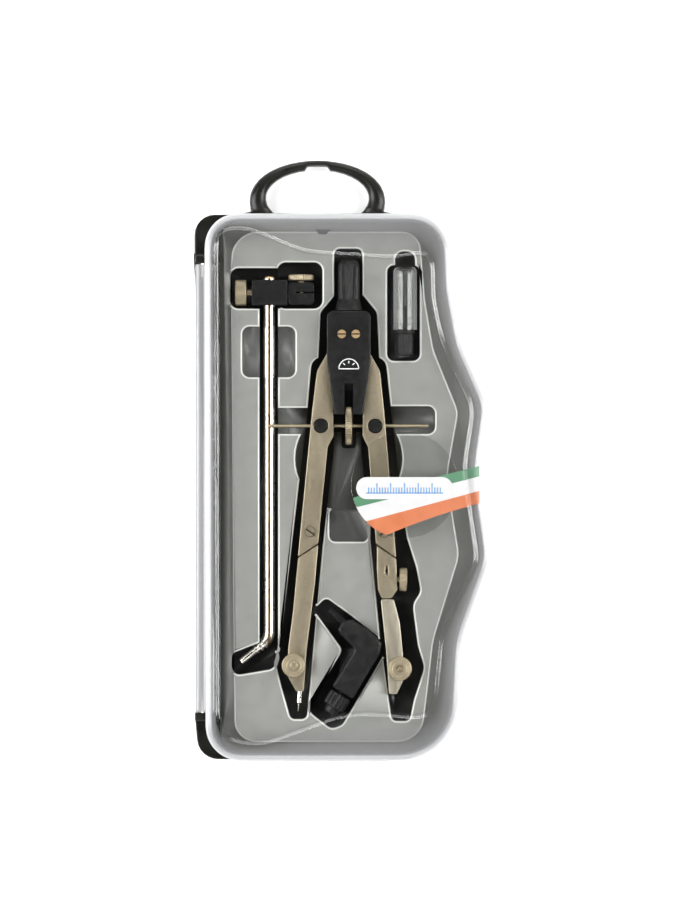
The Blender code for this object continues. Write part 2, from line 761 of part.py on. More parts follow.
def lower_leg(word, side, outline):
    """One lower leg, whose tongue turns on the knee screw inside the upper leg's fork."""
    leg = prism(f"leg_lower_{word}", placed(outline, side), LEG_LOW, LEG_HIGH, "champagne")
    knee = (COMPASS_X + side * KNEE_OUT, KNEE_Y, 0)
    low = LAY_Z - KNEE_TONGUE / 2
    high = LAY_Z + KNEE_TONGUE / 2
    reach = 3.2
    tongue = [
        (KNEE_OUT - reach, KNEE_Y + reach, reach),
        (KNEE_OUT + reach, KNEE_Y + reach, reach),
        (KNEE_OUT + reach + 0.2, KNEE_Y - 11.6, 0),
        (KNEE_OUT - reach + 0.9, KNEE_Y - 11.6, 0),
    ]
    join(leg, prism(f"tongue_{word}", placed(tongue, side), low, high))
    cut(leg, rod(f"tongue_hole_{word}", SCREW_SHANK + GAP, 5, 21, knee))
    return leg


def thumb_screw(name, place, axis, radius, height, neck, neck_radius, spin=0.0):
    """A knurled head from 0 to height, with a neck that runs the other way."""
    return turned(
        name,
        [
            (0, height),
            (radius - 0.5, height),
            (radius, height - 0.5),
            (radius, 0.4),
            (radius - 0.4, 0),
            (neck_radius, 0),
            (neck_radius, -neck),
            (0, -neck),
        ],
        place,
        axis,
        "champagne",
        28,
        spin,
    )


def make_left_foot():
    """The needle leg: its lower leg, needle and clamp screw."""
    x = COMPASS_X
    leg = lower_leg(
        "left",
        -1,
        [
            (11.1, -31.0, 0.3), (18.65, -36.1, 0.3), (20.3, -54.9, 20), (22.2, -69.5, 8),
            (22.2, -79.4, 1.5), (19.2, -84.7, 0.6), (16.4, -84.7, 0.6), (15.4, -70.0, 10),
            (12.4, -46.0, 10),
        ],
    )
    end = (x - 17.8, -84.7, LAY_Z)
    bore = rod("needle_bore", NEEDLE_RADIUS + GAP, -7, 3, end, "Y", None, 16, 180 - LEG_TILT)
    screw_hole = rod("clamp_hole", CLAMP_SHANK + GAP, 5, 21, (x - CLAMP_OUT, CLAMP_Y, 0))
    cut(leg, bore, screw_hole)
    turned(
        "needle",
        [(0, 7.2), (0.12, 7.2), (0.45, 4.4), (NEEDLE_RADIUS, 4.2), (NEEDLE_RADIUS, -6.4), (0, -6.4)],
        end,
        "Y",
        "steel",
        16,
        180 - LEG_TILT,
    )
    place = (x - CLAMP_OUT, CLAMP_Y, LEG_HIGH + GAP)
    clamp = thumb_screw("needle_clamp_screw", place, "Z", THUMB_RADIUS, THUMB_HEIGHT, LEG_THICKNESS, CLAMP_SHANK)
    join(clamp, rod("clamp_boss", 1.5, THUMB_HEIGHT - 0.4, THUMB_HEIGHT + 0.7, place, "Z", None, 20))


def make_right_foot():
    """The lead leg: its lower leg with a socket, the lead insert and their two screws."""
    x = COMPASS_X
    leg = lower_leg(
        "right",
        1,
        [
            (11.1, -31.0, 0.3), (18.65, -36.1, 0.3), (19.2, -47.3, 1), (17.2, -50.4, 0.6),
            (13.4, -50.4, 0.6), (12.2, -47.6, 2), (11.6, -40.0, 4),
        ],
    )
    middle = 15.2
    socket = (x + middle, -50.4, LAY_Z)
    slit = prism(
        "socket_slit",
        box_outline(x + middle - 0.45, x + middle + 0.45, -42.0, -38.6, 0.3),
        LAY_Z + 0.35,
        20,
    )
    side_hole = rod("side_hole", CLAMP_SHANK + GAP, 0.4, 8, (x + middle, -43.6, LAY_Z), "X", None, 16)
    cut(leg, rod("socket_bore", TENON_RADIUS + GAP, -1, 10, socket, "Y", None, 16), slit, side_hole)
    insert = prism(
        "lead_insert",
        placed([
            (13.2, -50.9, 0.6), (18.0, -50.9, 0.6), (20.3, -59.3, 10), (21.6, -70.5, 10),
            (21.9, -80.5, 2), (19.6, -85.4, 0.5), (16.8, -85.4, 0.5), (15.4, -70.0, 10),
        ]),
        LEG_LOW,
        LEG_HIGH,
        "champagne",
    )
    join(insert, rod("tenon", TENON_RADIUS, -1.5, 9, socket, "Y", None, 16))
    end = (x + 18.1, -85.4, LAY_Z)
    lead_bore = rod("lead_bore", 0.6 + GAP, -7, 3, end, "Y", None, 16, 180 + LEG_TILT)
    knob_place = (x + CLAMP_OUT + 0.4, CLAMP_Y - 0.9, LEG_HIGH + GAP)
    cut(insert, lead_bore, rod("knob_hole", CLAMP_SHANK + GAP, 5, 21, (knob_place[0], knob_place[1], 0)))
    lead = turned(
        "lead",
        [(0, 3.6), (0.1, 3.6), (0.6, 2.0), (0.6, -6.4), (0, -6.4)],
        end,
        "Y",
        "graphite",
        12,
        180 + LEG_TILT,
    )
    knob = thumb_screw("lead_clamp_screw", knob_place, "Z", THUMB_RADIUS, THUMB_HEIGHT, LEG_THICKNESS, CLAMP_SHANK)
    dimple = turned(
        "knob_dimple",
        [
            (0, THUMB_HEIGHT + 1), (1.3, THUMB_HEIGHT + 1), (0.9, THUMB_HEIGHT - 0.6),
            (0, THUMB_HEIGHT - 0.8),
        ],
        knob_place,
        "Z",
        None,
        16,
    )
    cut(knob, dimple)
    side_place = (x + 19.9, -43.6, LAY_Z)
    side = thumb_screw("insert_clamp_screw", side_place, "X", THUMB_RADIUS - 0.2, 2.8, 2.9, CLAMP_SHANK)
    return [leg, insert, lead, knob, side]


# Cutters and joined shapes that turn with the right leg
RIGHT_HELPERS = (
    "eye_hole_right",
    "trunnion_bore_right",
    "channel_right",
    "fork_right",
    "knee_hole_right",
    "knee_slot_right",
    "tongue_right",
    "tongue_hole_right",
    "socket_bore",
    "socket_slit",
    "side_hole",
    "tenon",
    "lead_bore",
    "knob_hole",
    "knob_dimple",
)


def make_compass():
    make_head()
    upper_leg("left", -1)
    trunnion("left", -1)
    knee_screw("left", -1)
    make_left_foot()
    right = [upper_leg("right", 1), knee_screw("right", 1), *make_right_foot()]
    pivot = (COMPASS_X + PIVOT_HALF, PIVOT_Y)
    helpers = [o for o in bpy.data.collections["cutters"].objects if o.name in RIGHT_HELPERS]
    turn_about(right + helpers, *pivot, -RIGHT_LEG_CLOSER)
    swung = Matrix.Rotation(math.radians(-RIGHT_LEG_CLOSER), 2) @ Vector((
        TRUNNION_OUT - PIVOT_HALF,
        TRUNNION_Y - PIVOT_Y,
    ))
    nut = trunnion("right", 1)
    nut.location.x = (pivot[0] + swung.x) * MM
    nut.location.y = (pivot[1] + swung.y) * MM
    spindle_place = (COMPASS_X, TRUNNION_Y, LAY_Z)
    rod("spindle", SPINDLE_RADIUS, -SPINDLE_HALF, SPINDLE_HALF, spindle_place, "X", "champagne", 12)
    half = WHEEL_THICKNESS / 2
    bore = SPINDLE_RADIUS + GAP
    turned(
        "wheel",
        [
            (bore, half), (WHEEL_RADIUS - 0.6, half), (WHEEL_RADIUS, half - 0.5),
            (WHEEL_RADIUS, -half + 0.5), (WHEEL_RADIUS - 0.6, -half), (bore, -half),
        ],
        spindle_place,
        "X",
        "champagne",
        32,
        ring=True,
    )



# ---------------------------------------------------------------- other tools


def tube_along(name, points, radius, z, finish=None):
    """A round bar along a list of (x, y) points at height z."""
    curve = bpy.data.curves.new(name, "CURVE")
    curve.dimensions = "3D"
    curve.bevel_depth = radius * MM
    curve.bevel_resolution = 3
    curve.use_fill_caps = True
    spline = curve.splines.new("POLY")
    spline.points.add(len(points) - 1)
    for point, (x, y) in zip(spline.points, points):
        point.co = (x * MM, y * MM, z * MM, 1.0)
    bent = bpy.data.objects.new(name + "_path", curve)
    bpy.context.scene.collection.objects.link(bent)
    mesh = bpy.data.meshes.new_from_object(bent.evaluated_get(bpy.context.evaluated_depsgraph_get()))
    bpy.data.objects.remove(bent)
    bm = bmesh.new()
    bm.from_mesh(mesh)
    bmesh.ops.remove_doubles(bm, verts=bm.verts, dist=1e-7)
    bmesh.ops.recalc_face_normals(bm, faces=bm.faces)
    bm.to_mesh(mesh)
    bm.free()
    mesh.materials.clear()
    return add_object(name, mesh, finish)


def make_bar():
    block_top = BAR_BLOCK_Y + BAR_BLOCK_HALF
    bend = [(BAR_X, block_top + 0.6), (BAR_X, BAR_END_Y)]
    bend += [(BAR_X - 1.5 * (1 - math.cos(t)) - 0.2 * t, BAR_END_Y - 2.2 * math.sin(t)) for t in (0.5, 1.0)]
    bend.append((BAR_X - 4.6, BAR_END_Y - 5.2))
    bar = tube_along("extension_bar", bend, BAR_RADIUS, BAR_Z, "steel")
    tail = tube_along(
        "bar_tail",
        [(BAR_X - 3.4, BAR_END_Y - 4.1), (BAR_X - 11.2, BAR_END_Y - 10.5)],
        1.25,
        BAR_Z,
    )
    collar = tube_along(
        "bar_collar",
        [(BAR_X - 5.4, BAR_END_Y - 5.8), (BAR_X - 6.6, BAR_END_Y - 6.8)],
        1.9,
        BAR_Z,
    )
    join(bar, tail, collar)
    half = BAR_BLOCK_HALF
    low = BAR_Z - half
    high = BAR_Z + half
    left = BAR_X - 6.3
    right = BAR_X + 6.7
    block = prism(
        "bar_block",
        box_outline(left, right, BAR_BLOCK_Y - half, block_top, 0.3),
        low,
        high,
        "black_plastic",
    )
    bore = rod("block_bore", BAR_RADIUS + GAP, -10, 10, (BAR_X, BAR_BLOCK_Y, BAR_Z), "Y", None, 24)
    screw_hole = rod("block_screw_hole", SCREW_SHANK + GAP, -10, 0, (BAR_X, BAR_BLOCK_Y, BAR_Z), "X", None, 16)
    cut(block, bore, screw_hole)
    socket = prism(
        "bar_socket",
        box_outline(right + GAP, right + 9.7, BAR_BLOCK_Y - half + 0.2, block_top - 0.9, 1.2),
        low + 0.6,
        high - 0.6,
        "black_plastic",
    )
    socket_x = right + 4.95
    cut(
        socket,
        rod("socket_screw_hole", SCREW_SHANK + GAP, -10, 10, (socket_x, BAR_BLOCK_Y, BAR_Z), "Y", None, 16),
        prism(
            "socket_line",
            box_outline(right + 3.0, right + 12, BAR_BLOCK_Y - 0.3, BAR_BLOCK_Y + 0.3),
            BAR_Z + 1,
            high + 2,
        ),
    )
    thumb_x = left - 2.0
    reach = BAR_X - BAR_RADIUS - GAP - thumb_x
    place = (thumb_x, BAR_BLOCK_Y, BAR_Z)
    thumb_screw("bar_clamp_screw", place, "X", BAR_THUMB_RADIUS, 4.2, reach, SCREW_SHANK, 180)
    place = (socket_x, block_top - 0.1, BAR_Z)
    thumb_screw("bar_socket_screw", place, "Y", BAR_THUMB_RADIUS - 0.1, 2.2, 8.4, SCREW_SHANK)


def make_lead_tube():
    place = (TUBE_X, 0, LAY_Z)
    inner = TUBE_RADIUS - TUBE_WALL
    top = TUBE_TOP_Y
    turned(
        "lead_tube",
        [
            (0, top), (TUBE_RADIUS - 1.6, top), (TUBE_RADIUS - 0.4, top - 0.7),
            (TUBE_RADIUS, top - 2), (TUBE_RADIUS, TUBE_MOUTH_Y), (inner, TUBE_MOUTH_Y),
            (inner, top - 2.2), (inner - 1, top - 1.2), (0, top - 1.2),
        ],
        place,
        "Y",
        "clear_plastic",
        24,
    )
    rim = TUBE_MOUTH_Y - GAP
    turned(
        "tube_cap",
        [
            (0, TUBE_MOUTH_Y + 8.2), (0.65, TUBE_MOUTH_Y + 8.2), (0.65, TUBE_MOUTH_Y + 2.6),
            (inner - 0.4, TUBE_MOUTH_Y + 2.6), (inner - 0.4, rim), (TUBE_CAP_RADIUS + 0.5, rim),
            (TUBE_CAP_RADIUS, rim - 0.8), (TUBE_CAP_RADIUS, TUBE_CAP_END_Y + 0.5),
            (TUBE_CAP_RADIUS - 0.5, TUBE_CAP_END_Y), (0, TUBE_CAP_END_Y),
        ],
        place,
        "Y",
        "black_plastic",
        24,
    )
    spread = 1.25
    for k in range(3):
        t = math.radians(90 + 120 * k)
        at = (TUBE_X + spread * math.cos(t), 0, LAY_Z + spread * math.sin(t))
        rod(f"spare_lead_{k + 1}", LEAD_RADIUS, TUBE_MOUTH_Y + 8.6, top - 1.8, at, "Y", "graphite", 12)


def make_adapter():
    body = prism(
        "pen_adapter",
        [
            (0.2, -59.0, 0.8), (3.9, -58.6, 1.5), (9.7, -62.2, 3), (14.8, -66.8, 2),
            (14.0, -71.0, 2), (4.1, -87.4, 0.8), (-3.4, -82.8, 0.8), (5.0, -69.2, 2),
            (-1.4, -62.6, 1.5),
        ],
        LAY_Z - 3.6,
        LAY_Z + 3.8,
        "black_plastic",
    )
    join(body, tube_along("adapter_stem", [(-4.3, -54.9), (3.4, -62.0)], 1.15, LAY_Z))
    aim = -31.5
    root = (0.2, -85.3)
    along = Vector((math.sin(math.radians(aim)), -math.cos(math.radians(aim))))
    start = Vector(root) + along * 0.45
    place = (start.x, start.y, LAY_Z)
    bore = rod("adapter_bore", 1.2 + GAP, -6, 3, place, "Y", None, 16, 180 + aim)
    cut(body, bore)
    turned(
        "adapter_screw",
        [
            (0, 8.4), (1.6, 8.4), (2.6, 7.6), (2.8, 6.4), (2.8, 5.6), (4.0, 5.4), (4.2, 5.0),
            (4.2, 0.8), (3.9, 0.3), (1.2, 0.3), (1.2, -5.2), (0, -5.2),
        ],
        place,
        "Y",
        "black_plastic",
        24,
        180 + aim,
    )


def main():
    start_scene()
    make_base()
    make_tray()
    make_lid()
    make_compass()
    make_bar()
    make_lead_tube()
    make_adapter()


main()
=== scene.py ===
"""Looks of a drafting compass set in a flat case with a clear hinged lid.

Lengths are in metres, except the profiles given to lathe and knob, soften's width and the label's
coordinates, which are in millimetres.
"""

import math

import bmesh
import bpy
from mathutils import Matrix, Vector
from mathutils.bvhtree import BVHTree
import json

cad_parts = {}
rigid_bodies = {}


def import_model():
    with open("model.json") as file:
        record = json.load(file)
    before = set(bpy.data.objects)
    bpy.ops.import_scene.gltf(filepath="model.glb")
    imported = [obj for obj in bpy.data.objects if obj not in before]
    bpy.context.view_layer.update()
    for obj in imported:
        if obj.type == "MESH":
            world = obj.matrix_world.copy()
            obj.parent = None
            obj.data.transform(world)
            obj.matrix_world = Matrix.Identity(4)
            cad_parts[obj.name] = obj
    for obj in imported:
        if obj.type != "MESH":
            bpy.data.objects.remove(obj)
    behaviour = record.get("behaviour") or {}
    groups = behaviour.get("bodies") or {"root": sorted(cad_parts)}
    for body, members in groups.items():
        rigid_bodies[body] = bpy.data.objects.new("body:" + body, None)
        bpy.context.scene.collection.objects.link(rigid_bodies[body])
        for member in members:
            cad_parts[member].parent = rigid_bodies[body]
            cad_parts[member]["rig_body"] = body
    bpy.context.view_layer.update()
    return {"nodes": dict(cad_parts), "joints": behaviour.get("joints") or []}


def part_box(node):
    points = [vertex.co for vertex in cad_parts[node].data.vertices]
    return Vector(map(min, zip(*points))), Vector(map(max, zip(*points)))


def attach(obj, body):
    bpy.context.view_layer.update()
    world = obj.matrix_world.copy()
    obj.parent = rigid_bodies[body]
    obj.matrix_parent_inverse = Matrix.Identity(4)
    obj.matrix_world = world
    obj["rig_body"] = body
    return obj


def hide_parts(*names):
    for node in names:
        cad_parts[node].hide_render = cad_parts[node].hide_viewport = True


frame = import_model()

MM = 0.001
NODES = frame["nodes"]
JOINTS = {joint["child"]: joint for joint in frame["joints"]}
FINE = 1e-6
# the tray's colours by height hold painted shade in the pockets and a painted highlight on the rims
POCKETS_FROM = 0.003  # height where the tray's colours start
TRAY_TOP = 0.013
LEDGE = 0.0104  # height of the flange around the tray
HINGE_CLEAR = (0.0176, 0.0184)  # from the lid's lower and upper end to its hinge barrel
ROD_RADIUS = 0.0021


# ---------------------------------------------------------------- materials


def node_material(name):
    """An empty node material, its nodes and its links."""
    made = bpy.data.materials.new(name)
    made.use_nodes = True
    made.node_tree.nodes.clear()
    return made, made.node_tree.nodes, made.node_tree.links


def noise(nodes, links, scale, detail=3.0, stretch=(1, 1, 1)):
    """Noise in the piece's own space, stretched along its axes."""
    place = nodes.new("ShaderNodeTexCoord")
    mapping = nodes.new("ShaderNodeMapping")
    mapping.inputs["Scale"].default_value = stretch
    links.new(place.outputs["Object"], mapping.inputs["Vector"])
    texture = nodes.new("ShaderNodeTexNoise")
    texture.inputs["Scale"].default_value = scale
    texture.inputs["Detail"].default_value = detail
    links.new(mapping.outputs["Vector"], texture.inputs["Vector"])
    return texture.outputs["Fac"]


def ramp(nodes, links, value, low, high, start, end):
    """value between low and high becomes start to end."""
    made = nodes.new("ShaderNodeMapRange")
    for name, number in (("From Min", low), ("From Max", high), ("To Min", start), ("To Max", end)):
        made.inputs[name].default_value = number
    links.new(value, made.inputs["Value"])
    return made.outputs["Result"]


def blend_colours(nodes, links, factor, first, second):
    """A mix of two colours, or of a colour and another node's colour."""
    mix = nodes.new("ShaderNodeMix")
    mix.data_type = "RGBA"
    links.new(factor, mix.inputs["Factor"])
    for socket, colour in ((mix.inputs[6], first), (mix.inputs[7], second)):
        if isinstance(colour, tuple):
            socket.default_value = (*colour, 1.0)
        else:
            links.new(colour, socket)
    return mix.outputs[2]


def object_coordinate(nodes, links, axis):
    """A piece's own X, Y or Z, in metres."""
    place = nodes.new("ShaderNodeTexCoord")
    split = nodes.new("ShaderNodeSeparateXYZ")
    links.new(place.outputs["Object"], split.inputs["Vector"])
    return split.outputs[axis]


def surface(name, colour, roughness, metallic=0.0, vary=0.15, grain=700, bump=0.15, bump_grain=2500,
            stretch=(1, 1, 1), spread=0.08, specular=0.5, see_through=0.0):
    """A finish with uneven colour and gloss, and a fine relief. see_through lets light past it."""
    made, nodes, links = node_material(name)
    shader = nodes.new("ShaderNodeBsdfPrincipled")
    out = nodes.new("ShaderNodeOutputMaterial")
    if see_through:
        thin = nodes.new("ShaderNodeMixShader")
        thin.inputs[0].default_value = see_through
        links.new(shader.outputs["BSDF"], thin.inputs[1])
        links.new(nodes.new("ShaderNodeBsdfTransparent").outputs["BSDF"], thin.inputs[2])
        links.new(thin.outputs["Shader"], out.inputs["Surface"])
    else:
        links.new(shader.outputs["BSDF"], out.inputs["Surface"])
    cloud = noise(nodes, links, grain, 4.0, stretch)
    darker = tuple(c * (1 - vary) for c in colour)
    lighter = tuple(min(c * (1 + vary), 1.0) for c in colour)
    patch = ramp(nodes, links, cloud, 0.3, 0.7, 0.0, 1.0)
    links.new(blend_colours(nodes, links, patch, darker, lighter), shader.inputs["Base Color"])
    uneven = ramp(nodes, links, cloud, 0.3, 0.7, roughness - spread, roughness + spread)
    links.new(uneven, shader.inputs["Roughness"])
    shader.inputs["Metallic"].default_value = metallic
    shader.inputs["Specular IOR Level"].default_value = specular
    relief = nodes.new("ShaderNodeBump")
    relief.inputs["Strength"].default_value = bump
    relief.inputs["Distance"].default_value = 0.0001
    links.new(noise(nodes, links, bump_grain, 2.0, stretch), relief.inputs["Height"])
    links.new(relief.outputs["Normal"], shader.inputs["Normal"])
    return made


def tray_material():
    """Silver paint on the tray, with colours told apart by height: rims lighter than the paint, a painted
    highlight, and pockets darker lower down, partly their own dark colour and partly painted shade, with grey
    shallow floors.
    """
    made = surface("tray_silver", (0.225, 0.223, 0.212), 0.44, 0.15, 0.04, 250, 0.12, 3500)
    nodes, links = made.node_tree.nodes, made.node_tree.links
    shader = nodes["Principled BSDF"]
    paint = shader.inputs["Base Color"].links[0].from_socket
    height = object_coordinate(nodes, links, "Z")
    # colour by height: darker lower down, partly the pockets' own colour and partly painted shade, and
    # lighter on the rims, a painted highlight
    depth = nodes.new("ShaderNodeValToRGB")
    links.new(ramp(nodes, links, height, POCKETS_FROM, TRAY_TOP, 0.0, 1.0), depth.inputs["Fac"])
    # (share of the way up, grey): deep pockets, shallow floors, walls, rims; the low stops are partly the
    # pockets' own dark colour and partly painted shade, and the rim stops, lighter than the paint, are a
    # painted highlight
    pocket_tones_and_painted_light = (
        (0.46, 0.010), (0.60, 0.012), (0.64, 0.085), (0.70, 0.08), (0.76, 0.02), (0.90, 0.02),
        (0.935, 0.3), (0.97, 0.62), (0.993, 0.58),
    )
    stops = depth.color_ramp.elements
    stops.remove(stops[1])
    for k, (at, shade) in enumerate(pocket_tones_and_painted_light):
        stop = stops.new(at) if k else stops[0]
        stop.position = at
        stop.color = (shade, shade, shade * 0.96, 1)
    top = ramp(nodes, links, height, TRAY_TOP - 0.00012, TRAY_TOP - 0.00001, 0.0, 1.0)
    ledge = nodes.new("ShaderNodeAttribute")
    ledge.attribute_name = "ledge"
    silver = nodes.new("ShaderNodeMath")
    silver.operation = "MAXIMUM"
    links.new(top, silver.inputs[0])
    links.new(ledge.outputs["Fac"], silver.inputs[1])
    links.new(
        blend_colours(nodes, links, silver.outputs["Value"], depth.outputs["Color"], paint),
        shader.inputs["Base Color"],
    )
    return made


def screw_material(name, colour, top):
    """A screw's metal, dark below its level top, in its slot: painted shade."""
    made = surface(name, colour, 0.4, 0.75, 0.06, 900, 0.03, 2600)
    nodes, links = made.node_tree.nodes, made.node_tree.links
    shader = nodes["Principled BSDF"]
    metal = shader.inputs["Base Color"].links[0].from_socket
    height = object_coordinate(nodes, links, "Z")
    # painted shade: the metal turns near black below its level top
    level = ramp(nodes, links, height, top - 0.00025, top - 0.00005, 0.0, 1.0)
    links.new(blend_colours(nodes, links, level, (0.05, 0.035, 0.02), metal), shader.inputs["Base Color"])
    return made


def rod_material(line_x):
    """Polished steel with the dark line that a round rod mirrors along its top."""
    made = surface("polished_rod", (0.92, 0.87, 0.79), 0.3, 1.0, 0.05, 300, 0.04, 1500, spread=0.04)
    nodes, links = made.node_tree.nodes, made.node_tree.links
    shader = nodes["Principled BSDF"]
    steel = shader.inputs["Base Color"].links[0].from_socket
    away = nodes.new("ShaderNodeMath")
    away.operation = "SUBTRACT"
    links.new(object_coordinate(nodes, links, "X"), away.inputs[0])
    away.inputs[1].default_value = line_x
    width = nodes.new("ShaderNodeMath")
    width.operation = "ABSOLUTE"
    links.new(away.outputs["Value"], width.inputs[0])
    clear_of_line = ramp(nodes, links, width.outputs["Value"], 0.0004, 0.0008, 0.0, 1.0)
    lined = blend_colours(nodes, links, clear_of_line, (0.30, 0.19, 0.11), steel)
    links.new(lined, shader.inputs["Base Color"])
    return made


def clear_material(name, frost_and_shade=None, body=(0.34, 0.344, 0.35), inner=(0.2, 0.2, 0.205)):
    """Clear moulded plastic. The named attribute, 0 to 1, says how milky it is; where it falls from 1 to 0.5
    the milky colour also darkens from body to inner, a painted shade.
    """
    made, nodes, links = node_material(name)
    out = nodes.new("ShaderNodeOutputMaterial")
    through = nodes.new("ShaderNodeBsdfTransparent")
    through.inputs["Color"].default_value = (0.94, 0.945, 0.94, 1)
    gloss = nodes.new("ShaderNodeBsdfGlossy")
    ripple = noise(nodes, links, 60, 2.0)
    links.new(ramp(nodes, links, ripple, 0.3, 0.7, 0.03, 0.06), gloss.inputs["Roughness"])
    relief = nodes.new("ShaderNodeBump")
    relief.inputs["Strength"].default_value = 0.02
    relief.inputs["Distance"].default_value = 0.0004
    links.new(ripple, relief.inputs["Height"])
    links.new(relief.outputs["Normal"], gloss.inputs["Normal"])
    facing = nodes.new("ShaderNodeLayerWeight")
    facing.inputs["Blend"].default_value = 0.5
    steep = nodes.new("ShaderNodeMath")
    steep.operation = "POWER"
    links.new(facing.outputs["Facing"], steep.inputs[0])
    steep.inputs[1].default_value = 5.0
    clear = nodes.new("ShaderNodeMixShader")
    links.new(ramp(nodes, links, steep.outputs["Value"], 0.0, 1.0, 0.04, 0.9), clear.inputs[0])
    links.new(through.outputs["BSDF"], clear.inputs[1])
    links.new(gloss.outputs["BSDF"], clear.inputs[2])
    if not frost_and_shade:
        links.new(clear.outputs["Shader"], out.inputs["Surface"])
        return made
    milky = nodes.new("ShaderNodeBsdfPrincipled")
    cloud = noise(nodes, links, 2200, 3.0)
    shade = ramp(nodes, links, cloud, 0.3, 0.7, 0.0, 1.0)
    amount = nodes.new("ShaderNodeAttribute")
    amount.attribute_name = frost_and_shade
    # painted shade: less milk darkens the milky colour from body towards inner
    depth = ramp(nodes, links, amount.outputs["Fac"], 0.5, 1.0, 0.0, 1.0)
    plain = blend_colours(nodes, links, depth, inner, body)
    paler = blend_colours(nodes, links, depth, tuple(c * 1.15 for c in inner), tuple(c * 1.15 for c in body))
    links.new(blend_colours(nodes, links, shade, plain, paler), milky.inputs["Base Color"])
    links.new(ramp(nodes, links, cloud, 0.3, 0.7, 0.25, 0.4), milky.inputs["Roughness"])
    cover = nodes.new("ShaderNodeMixShader")
    links.new(ramp(nodes, links, amount.outputs["Fac"], 0.0, 1.0, 0.0, 0.94), cover.inputs[0])
    links.new(clear.outputs["Shader"], cover.inputs[1])
    links.new(milky.outputs["BSDF"], cover.inputs[2])
    links.new(cover.outputs["Shader"], out.inputs["Surface"])
    return made


FINISH = {
    "black_gloss": surface(
        "black_gloss", (0.006, 0.006, 0.005), 0.3, 0.0, 0.3, 120, 0.08, 900, specular=0.2
    ),
    "black_satin": surface(
        "black_satin", (0.008, 0.008, 0.008), 0.4, 0.0, 0.3, 500, 0.2, 2600, specular=0.2
    ),
    "black_soft": surface(
        "black_soft", (0.008, 0.008, 0.008), 0.42, 0.0, 0.3, 500, 0.2, 2600, specular=0.25
    ),
    "champagne": surface("champagne", (0.31, 0.26, 0.185), 0.42, 0.75, 0.08, 1400, 0.12, 3200),
    "champagne_fine": surface(
        "champagne_fine", (0.30, 0.25, 0.17), 0.46, 0.75, 0.04, 900, 0.02, 3000, spread=0.03
    ),
    "insert_metal": surface(
        "insert_metal", (0.42, 0.375, 0.30), 0.4, 0.75, 0.06, 900, 0.1, 3200, (1, 0.15, 1)
    ),
    "pivot_brass": screw_material("pivot_brass", (0.62, 0.43, 0.23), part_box("pivot_screw_left")[1].z),
    "knee_metal": screw_material("knee_metal", (0.31, 0.26, 0.19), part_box("knee_screw_left")[1].z),
    "brass": surface("brass", (0.85, 0.60, 0.32), 0.35, 0.8, 0.06, 900, 0.03, 2600),
    "polished": surface("polished", (0.80, 0.74, 0.66), 0.2, 1.0, 0.08, 300, 0.05, 1500, spread=0.04),
    "rod": rod_material(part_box("extension_bar")[1].x - ROD_RADIUS),
    "graphite": surface("graphite", (0.03, 0.03, 0.033), 0.45, 0.3, 0.3, 900, 0.3, 2600),
    "paint_white": surface("paint_white", (0.82, 0.83, 0.85), 0.5, 0.0, 0.06, 900, 0.1, 2600),
    "label_white": surface(
        "label_white", (0.38, 0.38, 0.38), 0.5, 0.0, 0.03, 400, 0.02, 2600, see_through=0.1
    ),
    "label_green": surface(
        "label_green", (0.05, 0.15, 0.08), 0.5, 0.0, 0.06, 400, 0.02, 2600, see_through=0.25
    ),
    "label_orange": surface(
        "label_orange", (0.36, 0.10, 0.035), 0.5, 0.0, 0.06, 400, 0.02, 2600, see_through=0.2
    ),
    "label_blue": surface("label_blue", (0.05, 0.19, 0.40), 0.5, 0.0, 0.06, 400, 0.02, 2600),
    "tray": tray_material(),
    "clear": clear_material("clear"),
    "lid": clear_material("lid_clear", "frost_and_shade"),
    "barrel": clear_material("barrel_clear", "frost_and_shade", (0.22, 0.222, 0.23), (0.22, 0.222, 0.23)),
    "tube": clear_material("tube_clear", "milk_and_side_sheen", (0.42, 0.42, 0.41), (0.42, 0.42, 0.41)),
}


def repaint(node, finish):
    """Gives a CAD node another material."""
    slots = NODES[node].data.materials
    slots.clear()
    slots.append(FINISH[finish])


# ---------------------------------------------------------------- shapes


def turned_left(loop):
    """Whether an outline runs anticlockwise."""
    return sum(a.x * b.y - b.x * a.y for a, b in zip(loop, loop[1:] + loop[:1])) > 0


def section(node, z):
    """The closed outlines where a level plane at z, in metres, cuts a CAD node, the widest first."""
    bm = bmesh.new()
    bm.from_mesh(NODES[node].data)
    bmesh.ops.remove_doubles(bm, verts=bm.verts, dist=FINE)
    geometry = bm.verts[:] + bm.edges[:] + bm.faces[:]
    cut = bmesh.ops.bisect_plane(bm, geom=geometry, plane_co=(0, 0, z), plane_no=(0, 0, 1))
    links = {}
    for edge in cut["geom_cut"]:
        if isinstance(edge, bmesh.types.BMEdge):
            a, b = edge.verts
            links.setdefault(a, []).append(b)
            links.setdefault(b, []).append(a)
    loops = []
    while links:
        here = next(iter(links))
        loop = []
        while here is not None:
            loop.append(Vector(here.co[:2]))
            ahead = [v for v in links.pop(here) if v in links]
            here = ahead[0] if ahead else None
        if not turned_left(loop):
            loop.reverse()
        loops.append(loop)
    bm.free()
    return sorted(loops, key=lambda loop: -max(p.x for p in loop) + min(p.x for p in loop))


def corners(loop, least=0.01):
    """An outline without the points that lie on its straight runs."""
    kept = []
    for before, here, after in zip(loop[-1:] + loop[:-1], loop, loop[1:] + loop[:1]):
        if (here - before).length > FINE and (here - before).angle(after - here, 0.0) > least:
            kept.append(here)
    return kept


